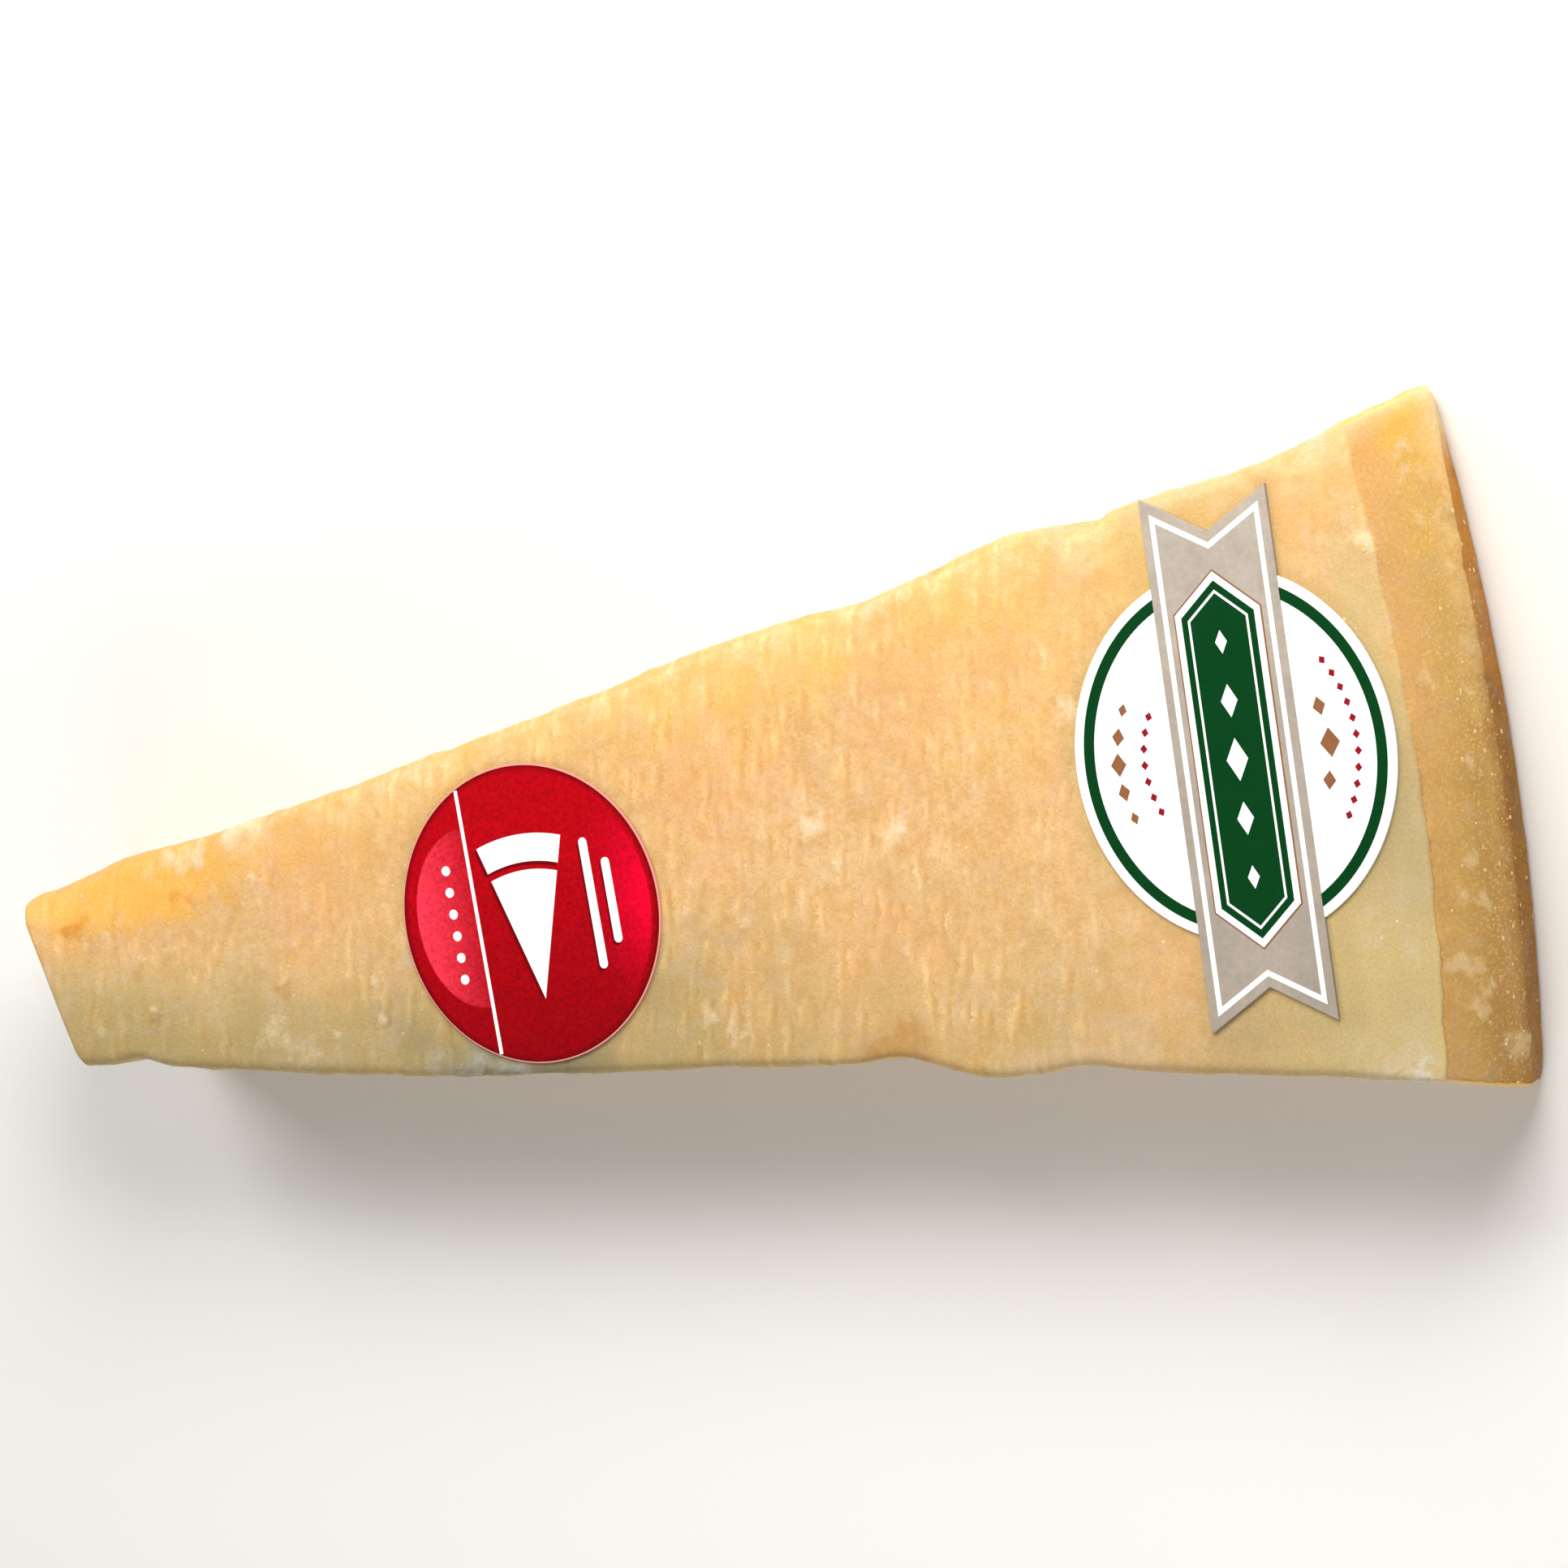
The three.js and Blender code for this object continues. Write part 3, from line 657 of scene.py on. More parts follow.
    paste = paint(tree, look.paste_ochre, (
        # Body: cream and ochre mottle with blushes, and yellow to the left, partly the paste's own tone and
        # partly painted light on the side nearer the lamp.
        (look.paste_cream, "MIX", [(body, 0, 1, 0, 1)]),
        (look.paste_yellow_lit_side, "MIX", [(side, 0.3, 1.1, 0, 0.85, "SMOOTHSTEP")]),
        (look.paste_warm, "MIX", [(blush, 0.5, 0.68, 0, 0.5)]),
        # Painted shade: the narrow end is greyer towards the right, and the right side khaki, partly its own
        # hue.
        (look.paste_dull, "MIX", [(x, -25, -60, 0, 0.8), (side, 0.25, -0.6, 0, 1)]),
        (look.paste_khaki_and_shade, "MIX", [
            (side, 0, -1, 0, 1, "SMOOTHSTEP"), (x, -10, 20, 1, 0.55), (cut_face, 0, 1, 0.45, 1)]),
        # The worn facet is a strong yellow, partly a painted highlight where it faces the light.
        (look.facet_yellow_highlight, "MIX", [
            (ragged_left, 7.2, 4, 0, 0.85), (x, -40, -64, 0, 1), (x, -80, -75, 0.35, 1)]),
        # Painted highlight along the left edge, duller paste near the rind, and painted shade on the edge's
        # rounding and round the labels.
        (look.pale_paste_and_highlight, "MIX", [
            (from_left, 5.5, 0.8, 0, 0.75), (x, -40, -64, 1, 0.15), (clouds, 0.4, 0.6, 0.2, 1)]),
        (look.paste_dull, "MIX",
         [(from_rind, -28, -8, 0, 0.85, "SMOOTHSTEP"), (cut_face, 0, 1, 0, 1), (side, 0.45, -0.15, 0.08, 1)],
         [(from_rind, -8, -4, 0, 0.7), (cut_face, 0, 1, 0, 1), (side, 0.55, 0.25, 0, 1)]),
        # Painted shade on the rounded left edge, which the lamp lights too brightly.
        (look.paste_ochre, "MIX", [(from_left, 1, 0.2, 0, 0.5)]),
        # Painted shade round the labels.
        (look.paste_khaki_and_shade, "MIX", [(calm, 0.3, 1, 0, 0.35)]),
        *trickles,
        (look.crystal, "MIX", [(speck, 0, 1, 0, 0.5)]),
        (look.paste_amber, "MIX", [(pit, 0.03, 0.11, 0.4, 0)]),
        # Brown stains and painted shadow in a hollow of the right edge, pale dry spots, and painted shade.
        (STAIN_AND_SHADOW_TINT, "MULTIPLY", [(stain_and_shadow, 0.35, 0.95, 0, 1)]),
        (look.crystal, "MIX", [(dried, 0.25, 1, 0, 0.65)]),
        (SHADE_TINT, "MULTIPLY", [(shade, 0, 1, 0, 1)]),
        # Split sides: painted shade darkens the hollows between the flakes, and the paste turns tan close to
        # the rind.
        (look.paste_ochre, "MIX", [(lumps, 0.55, 0.35, 0, 0.5), (cut_face, 0, 1, 1, 0)]),
        (look.rind_gold, "MIX", [(from_rind, -5.5, 0, 0, 0.85), (cut_face, 0, 1, 1, 0)]),
    ))

    rightwards = (side, 0.55, -0.1, 0, 1)
    below_ridge = (level, 0.1, -0.35, 0, 1)
    # The strip below the ridge: amber at the left, turning brown towards the right as painted shade.
    foot = paint(tree, look.rind_foot, [(look.rind_brown_and_shade, "MIX", [rightwards])])
    dry_mark = add(tree, "ShaderNodeMath", {0: marks, 1: mottle}, operation="MULTIPLY")
    rind = paint(tree, look.rind_tan, (
        # Golden, brighter to the left, partly its own colour and partly painted light, with a smooth blush
        # below the cut, and darker lower down and to the right as painted shade.
        (look.rind_gold, "MIX", [(side, -0.9, 0.8, 0, 1)]),
        (look.rind_lit_yellow, "MIX", [(side, 0.3, 0.75, 0, 0.95)]),
        (look.rind_orange, "MIX", [(over_ridge, 7, 13, 0, 0.65), (side, -0.3, 0.4, 0.5, 1)]),
        (look.rind_foot, "MIX", [(body, 0.7, 0.2, 0, 0.18), (side, 0, 0.6, 1, 0.15)]),
        (RIND_SHADE_TINT, "MULTIPLY", [(side, 0.35, -0.75, 0.05, 1), (over_ridge, 11, 5, 0, 1)]),
        # Brown below the ridge, partly its own colour and partly painted shade where the strip leans away
        # from the light, and at the right just above it too as painted shade.
        (look.rind_brown_and_shade, "MIX", [(level, 2.8, 0.4, 0, 0.75), rightwards]),
        (foot, "MIX", [below_ridge]),
        (FOOT_TINT, "MULTIPLY", [(body, 0.6, 0.1, 0, 0.8), below_ridge]),
        # The ridge, pale partly from rubbing and partly as a painted highlight on its edge, pale flecks
        # above it, and dry marks.
        (look.rind_worn_and_highlight, "MIX",
         [(level, 6, 2, 0, 1), (level, -0.2, 0.4, 0, 0.75), (body, 0, 1, 0, 1), (side, 0.55, -0.1, 1, 0.15)],
         [(grain, 0.56, 0.66, 0, 1), (over_ridge, 12, 5, 0.22, 0.55), (level, -0.3, 0.3, 0.35, 1)]),
        (look.pale_paste_and_highlight, "MIX", [(dry_mark, 0.13, 0.4, 0, 0.5)]),
        # Its left corner is paler, most of all at the foot.
        (look.pale_paste_and_highlight, "MIX", [(across, 0.91, 0.98, 0, 0.6)],
         [(over_ridge, 6.5, 0.5, 0, 0.95), (side, 0.55, 0.95, 0, 1)]),
    ))

    # Where the two meet, the rind's line is ragged, and darker towards the right.
    line = add(tree, "ShaderNodeMath", {0: border, 1: 0.2}, operation="SUBTRACT")
    line = add(tree, "ShaderNodeMath", {0: line}, operation="ABSOLUTE")
    colour = paint(tree, paste, (
        (rind, "MIX", [(border, 0.05, 0.2, 0, 1)]),
        (look.rind_brown_and_shade, "MIX", [(line, 0.05, 0.2, 0.5, 0), (side, 0.5, -0.5, 0, 1)]),
    ))
    grain_light = add(tree, "ShaderNodeMapRange", {"Value": grain, 1: 0.3, 2: 0.7, 3: 0.89, 4: 1.1})
    colour = add(tree, "ShaderNodeVectorMath", {0: colour, "Scale": grain_light}, operation="SCALE")

    # Fine relief of the grain.
    relief = add(tree, "ShaderNodeMath", {0: grain, 1: mottle}, operation="ADD")
    bump = add(tree, "ShaderNodeBump", {"Strength": 0.3, "Distance": 0.2 * MM, "Height": relief})
    rough = add(tree, "ShaderNodeMapRange", {"Value": clouds, 1: 0.3, 2: 0.7, 3: 0.5, 4: 0.66})
    shader = add(tree, "ShaderNodeBsdfPrincipled", {
        "Base Color": colour, "Roughness": rough, "IOR": 1.45, "Specular IOR Level": 0.08, "Normal": bump,
        "Subsurface Weight": 0.22, "Subsurface Radius": (1.0, 0.55, 0.25), "Subsurface Scale": 1.2 * MM,
    })
    add(tree, "ShaderNodeOutputMaterial", {0: shader}, out=None)
    return material


def film_tree():
    """Film drawn tight round the cheese: it bridges small hollows and wrinkles away from the labels."""
    tree, given = new_tree("Tight film", {
        "Gap": "Float", "Gap under labels": "Float", "Wrinkle height": "Float", "Wrinkle size": "Float",
        "Material": "Material",
    })
    place = add(tree, "GeometryNodeInputPosition")
    normal = add(tree, "GeometryNodeInputNormal")
    calm, haze = (add(tree, "GeometryNodeInputNamedAttribute", {"Name": name})
                  for name in ("calm", "haze"))

    # Where the surface round a place is higher, the place is a hollow, and the film spans it.
    mean = add(tree, "GeometryNodeBlurAttribute", {"Value": place, "Iterations": 5},
               data_type="FLOAT_VECTOR")
    step = add(tree, "ShaderNodeVectorMath", {0: mean, 1: place}, operation="SUBTRACT")
    span = add(tree, "ShaderNodeVectorMath", {0: step, 1: normal}, out="Value", operation="DOT_PRODUCT")
    span = add(tree, "ShaderNodeMath", {0: span, 1: 0.0}, operation="MAXIMUM")

    # Wrinkles: thin crests, more of them where the film stands off.
    mm = add(tree, "ShaderNodeVectorMath", {0: place, "Scale": 1 / MM}, operation="SCALE")
    scale = add(tree, "ShaderNodeMath", {0: 1.0, 1: given["Wrinkle size"]}, operation="DIVIDE")
    wrinkle = add(tree, "ShaderNodeTexNoise", {
        "Vector": mm, "Scale": scale, "Detail": 2.0, "Roughness": 0.5, "Distortion": 1.6,
    })
    wrinkle = add(tree, "ShaderNodeMath", {0: wrinkle, 1: 0.5}, operation="SUBTRACT")
    wrinkle = add(tree, "ShaderNodeMath", {0: wrinkle}, operation="ABSOLUTE")
    crest = add(tree, "ShaderNodeMapRange", {"Value": wrinkle, 1: 0.035, 2: 0.0})
    free = add(tree, "ShaderNodeMath", {0: 1.0, 1: calm}, operation="SUBTRACT")
    crest = add(tree, "ShaderNodeMath", {0: crest, 1: free}, operation="MULTIPLY")
    rise = add(tree, "ShaderNodeMapRange", {"Value": haze, 1: 0.0, 2: 1.0, 3: 0.5, 4: 1.6})
    for factor in (crest, given["Wrinkle height"]):
        rise = add(tree, "ShaderNodeMath", {0: rise, 1: factor}, operation="MULTIPLY")
    gap = add(tree, "ShaderNodeMapRange", {"Value": calm, 3: given["Gap"], 4: given["Gap under labels"]})
    total = span
    for height in (rise, gap):
        total = add(tree, "ShaderNodeMath", {0: total, 1: height}, operation="ADD")
    push_out(tree, given, total, "crest", crest)
    return tree


def film_material(look):
    """Clear polyamide and polythene vacuum film: all but unseen where tight, milky where it stands off and
    on wrinkle crests, a whiteness that is partly painted reflection.
    """
    material, tree = new_material("clear_vacuum_film")
    haze, crest = (add(tree, "ShaderNodeAttribute", out="Fac", attribute_name=name)
                   for name in ("haze", "crest"))
    place = add(tree, "ShaderNodeTexCoord", out="Object")
    mm = add(tree, "ShaderNodeVectorMath", {0: place, "Scale": 1 / MM}, operation="SCALE")
    wisps = add(tree, "ShaderNodeTexNoise", {
        "Vector": mm, "Scale": 0.55, "Detail": 4.0, "Roughness": 0.6, "Distortion": 1.0,
    })
    milky = add(tree, "ShaderNodeMapRange", {"Value": wisps, 1: 0.35, 2: 0.65})
    for factor in (haze, look.film_haze):
        milky = add(tree, "ShaderNodeMath", {0: milky, 1: factor}, operation="MULTIPLY")
    # Milky film and wrinkle crests: partly a painted reflection of the film's glints.
    seen = add(tree, "ShaderNodeMath", {0: crest, 1: 0.07, 2: milky}, operation="MULTIPLY_ADD")
    seen = add(tree, "ShaderNodeMath", {0: seen, 1: look.film_veil}, operation="ADD", use_clamp=True)
    shader = add(tree, "ShaderNodeBsdfPrincipled", {
        "Base Color": look.film_tint, "Roughness": 0.16, "IOR": 1.5, "Specular IOR Level": 0.3,
        "Alpha": seen,
    })
    add(tree, "ShaderNodeOutputMaterial", {0: shader}, out=None)
    return material


def grain_tree():
    """Dry grains scattered over a surface, thickest where its attribute grainy is high."""
    tree, given = new_tree("Dry grains", {
        "Density": "Float", "Smallest": "Float", "Largest": "Float", "Seed": "Int", "Material": "Material",
    })
    grainy = add(tree, "GeometryNodeInputNamedAttribute", {"Name": "grainy"})
    density = add(tree, "ShaderNodeMath", {0: grainy, 1: given["Density"]}, operation="MULTIPLY")
    points = add(tree, "GeometryNodeDistributePointsOnFaces", {
        "Mesh": given["Geometry"], "Density": density, "Seed": given["Seed"],
    }, out=None)
    grain = add(tree, "GeometryNodeMeshIcoSphere", {"Radius": 1.0, "Subdivisions": 1})
    size = add(tree, "FunctionNodeRandomValue", {"Min": 0.0, "Max": 1.0, "Seed": given["Seed"]}, out="Value",
               data_type="FLOAT")
    size = add(tree, "ShaderNodeMath", {0: size, 1: 3.0}, operation="POWER")
    size = add(tree, "ShaderNodeMapRange", {"Value": size, 3: given["Smallest"], 4: given["Largest"]})
    stretch = add(tree, "FunctionNodeRandomValue", {
        "Min": (0.6, 0.6, 0.3), "Max": (1.2, 1.2, 0.6), "Seed": given["Seed"],
    }, out="Value", data_type="FLOAT_VECTOR")
    scale = add(tree, "ShaderNodeVectorMath", {0: stretch, "Scale": size}, operation="SCALE")
    copies = add(tree, "GeometryNodeInstanceOnPoints", {
        "Points": points["Points"], "Instance": grain, "Rotation": points["Rotation"], "Scale": scale,
    })
    tone = add(tree, "FunctionNodeRandomValue", {"Min": 0.0, "Max": 1.0, "Seed": 5}, out="Value",
               data_type="FLOAT")
    toned = add(tree, "GeometryNodeStoreNamedAttribute", {"Geometry": copies, "Name": "tone", "Value": tone},
                data_type="FLOAT", domain="INSTANCE")
    make_real(tree, toned, given["Material"])
    return tree


def grain_material(look):
    """Crumbs of dry rind, each between pale and amber, matt and a little translucent."""
    material, tree = new_material("dry_rind_crumbs")
    tone = add(tree, "ShaderNodeAttribute", out="Fac", attribute_name="tone")
    colour = paint(tree, look.pale_paste_and_highlight, [(look.rind_gold, "MIX", [(tone, 0, 1, 0, 1)])])
    place = add(tree, "ShaderNodeTexCoord", out="Object")
    rough = add(tree, "ShaderNodeTexNoise", {"Vector": place, "Scale": 6 / MM, "Detail": 2.0})
    bump = add(tree, "ShaderNodeBump", {"Strength": 0.4, "Distance": 0.05 * MM, "Height": rough})
    shader = add(tree, "ShaderNodeBsdfPrincipled", {
        "Base Color": colour, "Roughness": 0.6, "Specular IOR Level": 0.3, "Normal": bump,
        "Subsurface Weight": 0.2, "Subsurface Radius": (1.0, 0.55, 0.25), "Subsurface Scale": 0.4 * MM,
    })
    add(tree, "ShaderNodeOutputMaterial", {0: shader}, out=None)
    return material


# ---------------------------------------------------------------- labels

def loop(outline, z):
    return [(x, y, z) for x, y in outline]


def stack(rings):
    """A closed body from rings of equal length, bottom to top: flat caps and quads between them."""
    count = len(rings[0])
    verts = [point for ring in rings for point in ring]
    faces = [list(range(count))[::-1], list(range(len(verts) - count, len(verts)))]
    for level in range(len(rings) - 1):
        for n in range(count):
            m = (n + 1) % count
            low, high = level * count, (level + 1) * count
            faces.append([low + n, low + m, high + m, high + n])
    return verts, faces


def band(outer, inner, low, high):
    """A closed flat band between two outlines with equal numbers of points."""
    count = len(outer)
    verts = loop(outer, low) + loop(outer, high) + loop(inner, high) + loop(inner, low)
    faces = []
    for n in range(count):
        m = (n + 1) % count
        for level in range(4):
            here, there = level * count, (level + 1) % 4 * count
            faces.append([here + n, here + m, there + m, there + n])
    return verts, faces


def inset(outline, distance):
    """The outline moved inwards by a distance. The outline runs anticlockwise."""
    moved = []
    for n, corner in enumerate(outline):
        before = (Vector(corner) - Vector(outline[n - 1])).normalized()
        after = (Vector(outline[(n + 1) % len(outline)]) - Vector(corner)).normalized()
        inward = Vector((-before.y - after.y, before.x + after.x))
        inward /= 1 + before.dot(after)
        moved.append(tuple(Vector(corner) + inward * distance))
    return moved


def ellipse(centre, radii, steps=160):
    return [(centre[0] + radii[0] * math.cos(math.tau * n / steps),
             centre[1] + radii[1] * math.sin(math.tau * n / steps)) for n in range(steps)]


def turned(outline, centre, turn):
    """An outline in a label's own axes, turned and moved to its place on the cut face."""
    c, s = math.cos(turn), math.sin(turn)
    return [(centre[0] + u * c - v * s, centre[1] + u * s + v * c) for u, v in outline]


def stadium(width, length, steps=12):
    """A bar with round ends, length along the second axis."""
    r = width / 2
    ends = [(r * math.cos(math.pi * n / steps), length / 2 - r + r * math.sin(math.pi * n / steps))
            for n in range(steps + 1)]
    return ends + [(-u, -v) for u, v in ends]


def paper(outline, low, high):
    """Die-cut paper: its top edge is pressed a little round."""
    shoulder = PAPER_SOFT * 0.3
    return stack([loop(outline, low), loop(outline, high - PAPER_SOFT),
                  loop(inset(outline, shoulder), high - shoulder), loop(inset(outline, PAPER_SOFT), high)])


def ink(outline, layer):
    """A printed area on a label, as a very thin closed body."""
    return stack([loop(outline, PAPER_TOP - INK), loop(outline, PAPER_TOP + INK * layer)])


def label_mesh(name, parts):
    """One mesh from (body, material) parts, in the model's frame."""
    verts, faces, numbers, materials = [], [], [], []
    for (part_verts, part_faces), material in parts:
        if material not in materials:
            materials.append(material)
        start = len(verts)
        verts += part_verts
        faces += [[start + n for n in face] for face in part_faces]
        numbers += [materials.index(material)] * len(part_faces)
    mesh = bpy.data.meshes.new(name)
    mesh.from_pydata(in_frame(*np.array(verts).T).tolist(), [], faces)
    for material in materials:
        mesh.materials.append(material)
    mesh.polygons.foreach_set("material_index", numbers)
    return mesh


def row_tree():
    """A row of flat printed shapes along a path, largest in the middle."""
    tree, given = new_tree("Printed row", {
        "Count": "Int", "Sides": "Int", "Width": "Float", "Length": "Float", "Thickness": "Float",
        "Grading": "Float", "Material": "Material",
    })
    curve = add(tree, "GeometryNodeMeshToCurve", {0: given["Geometry"]})
    points = add(tree, "GeometryNodeResampleCurve", {"Curve": curve, "Count": given["Count"]})
    share = add(tree, "GeometryNodeSplineParameter", out="Factor")
    off_middle = add(tree, "ShaderNodeMath", {0: share, 1: 0.5}, operation="SUBTRACT")
    off_middle = add(tree, "ShaderNodeMath", {0: off_middle}, operation="ABSOLUTE")
    shrink = add(tree, "ShaderNodeMath", {0: off_middle, 1: given["Grading"]}, operation="MULTIPLY")
    scale = add(tree, "ShaderNodeMath", {0: 1.0, 1: shrink}, operation="SUBTRACT")
    wide, long = (add(tree, "ShaderNodeMath", {0: scale, 1: given[name]}, operation="MULTIPLY")
                  for name in ("Width", "Length"))
    size = add(tree, "ShaderNodeCombineXYZ", {0: wide, 1: long, 2: given["Thickness"]})
    shape = add(tree, "GeometryNodeMeshCylinder", {"Vertices": given["Sides"], "Radius": 0.5, "Depth": 1.0})
    tangent = add(tree, "GeometryNodeInputTangent")
    facing = add(tree, "FunctionNodeAlignRotationToVector", {"Vector": tangent}, axis="Y", pivot_axis="Z")
    copies = add(tree, "GeometryNodeInstanceOnPoints", {
        "Points": points, "Instance": shape, "Rotation": facing, "Scale": size,
    })
    make_real(tree, copies, given["Material"])
    return tree


def printed_row(tree, name, path, layer, material, count, sides, width, length, grading=0.0):
    """Runs the row tree along a path of places in millimetres on a label."""
    mesh = bpy.data.meshes.new(name)
    x, y = np.array(path).T
    middle = PAPER_TOP + INK * (layer - 1) / 2
    mesh.from_pydata(in_frame(x, y, np.full(len(x), middle)).tolist(),
                     [(n, n + 1) for n in range(len(path) - 1)], [])
    return run_nodes(new_piece(name, mesh), tree, {
        "Count": count, "Sides": sides, "Width": width * MM, "Length": length * MM,
        "Thickness": INK * (layer + 1) * MM, "Grading": grading, "Material": material,
    })


def arc_path(centre, radius, start, end, steps=48):
    angles = [math.radians(start + (end - start) * n / steps) for n in range(steps + 1)]
    return [(centre[0] + radius * math.cos(a), centre[1] + radius * math.sin(a)) for a in angles]


def join(piece, others):
    """Joins pieces into the first one, which keeps its name."""
    with bpy.context.temp_override(active_object=piece, selected_editable_objects=[piece, *others],
                                   selected_objects=[piece, *others]):
        bpy.ops.object.join()
    return piece


def label_paper(name, colour, roughness, fibre, fall=0.0):
    """Offset-printed label paper: flat colour with a faint fibre mottle and a slight sheen of varnish.

    Where fall is above 0, the print is mottled in broad clouds, and lighter at the wedge's left side and
    darker at its right as painted light and shade.
    """
    material, tree = new_material(name)
    place = add(tree, "ShaderNodeTexCoord", out="Object")
    mm = add(tree, "ShaderNodeVectorMath", {0: place, "Scale": 1 / MM}, operation="SCALE")
    fibres = add(tree, "ShaderNodeTexNoise", {"Vector": mm, "Scale": 1.6, "Detail": 4.0, "Roughness": 0.65})
    broad = add(tree, "ShaderNodeTexNoise", {"Vector": mm, "Scale": 0.2, "Detail": 3.0})
    lateral = add(tree, "ShaderNodeSeparateXYZ", {0: mm}, out=1)
    tinted = colour[:3]
    # The swing across the wedge is painted light and shade; the fibres and broad clouds are the print's own.
    for value, low, high, swing in (
        (fibres, 0.3, 0.7, fibre), (broad, 0.3, 0.7, fall), (lateral, -25, 25, fall),
    ):
        light = add(tree, "ShaderNodeMapRange", {
            "Value": value, 1: low, 2: high, 3: 1 - swing, 4: 1 + swing,
        })
        tinted = add(tree, "ShaderNodeVectorMath", {0: tinted, "Scale": light}, operation="SCALE")
    waves = add(tree, "ShaderNodeTexNoise", {"Vector": mm, "Scale": 0.16, "Detail": 2.0})
    wavy = add(tree, "ShaderNodeBump", {"Strength": 0.25, "Distance": 1.0 * MM, "Height": waves})
    uneven = add(tree, "ShaderNodeBump", {
        "Strength": 0.2, "Distance": 0.05 * MM, "Height": fibres, "Normal": wavy,
    })
    shader = add(tree, "ShaderNodeBsdfPrincipled", {
        "Base Color": tinted, "Roughness": roughness, "IOR": 1.5, "Specular IOR Level": 0.12,
        "Normal": uneven,
    })
    add(tree, "ShaderNodeOutputMaterial", {0: shader}, out=None)
    return material


def red_material(look, centre):
    """Glossy red print, mottled like leather, with a highlight on either side as on a raised button."""
    material, tree = new_material("varnished_red_print")
    place = add(tree, "ShaderNodeTexCoord", out="Object")
    own = add(tree, "ShaderNodeMapping", {
        "Vector": place, "Location": (-centre[0] / MM, -centre[1] / MM, 0), "Scale": (1 / MM,) * 3,
    }, vector_type="POINT")
    x, y, _ = add(tree, "ShaderNodeSeparateXYZ", {0: own}, out=None)
    flat = add(tree, "ShaderNodeCombineXYZ", {0: x, 1: y})
    radius = add(tree, "ShaderNodeVectorMath", {0: flat}, out="Value", operation="LENGTH")
    from_middle = add(tree, "ShaderNodeMath", {0: y}, operation="ABSOLUTE")
    left_of_line = add(tree, "ShaderNodeMath", {0: x, 1: LINE_AT}, operation="LESS_THAN")
    (middle_x, middle_y), (wide, high) = OVAL_AT, OVAL_RADII
    oval = add(tree, "ShaderNodeMapping", {
        "Vector": flat, "Location": (-middle_x / wide, -middle_y / high, 0),
        "Scale": (1 / wide, 1 / high, 1),
    }, vector_type="POINT")
    oval = add(tree, "ShaderNodeVectorMath", {0: oval}, out="Value", operation="LENGTH")

    colour = paint(tree, look.red, (
        # Painted shade: the field darkens towards the wedge's right side.
        (look.red_deep_and_shade, "MIX", [(y, 6, -14, 0, 0.5)]),
        # Right highlight: a glow that stops short of the rim.
        (look.red_glow, "MIX", [
            (x, 7.5, 13.6, 0, 1), (radius, 14.1, 13.95, 0, 1), (from_middle, 10, 2, 0, 1)]),
        # Left highlight: half an oval, brightest at the rim and dying away at the white line.
        (look.red_light, "MIX", [
            (oval, 1.01, 0.99, 0, 1), (x, -13.2, -6.4, 1, 0.15), (left_of_line, 0, 1, 0, 1)]),
        # Dark line round the rim.
        (look.red_deep_and_shade, "MIX", [(radius, 14.2, 14.75, 0, 0.7)]),
    ))
    grain = add(tree, "ShaderNodeTexNoise", {
        "Vector": own, "Scale": 2.8, "Detail": 3.0, "Roughness": 0.65, "Distortion": 0.5,
    })
    shade = add(tree, "ShaderNodeMapRange", {"Value": grain, 1: 0.32, 2: 0.68, 3: 0.72, 4: 1.28})
    colour = add(tree, "ShaderNodeVectorMath", {0: colour, "Scale": shade}, operation="SCALE")
    waves = add(tree, "ShaderNodeTexNoise", {"Vector": own, "Scale": 0.16, "Detail": 2.0})
    wavy = add(tree, "ShaderNodeBump", {"Strength": 0.2, "Distance": 1.0 * MM, "Height": waves})
    shader = add(tree, "ShaderNodeBsdfPrincipled", {
        "Base Color": colour, "Roughness": 0.3, "IOR": 1.5, "Specular IOR Level": 0.15, "Normal": wavy,
    })
    add(tree, "ShaderNodeOutputMaterial", {0: shader}, out=None)
    return material


# ---------------------------------------------------------------- settings

def colour_setting(name, description, hex_colour):
    return FloatVectorProperty(name=name, description=description, subtype="COLOR", size=4, min=0, max=1,
                               default=linear(hex_colour))


def length_setting(name, description, millimetres):
    return FloatProperty(name=name, description=description, default=millimetres * MM, min=0, unit="LENGTH")


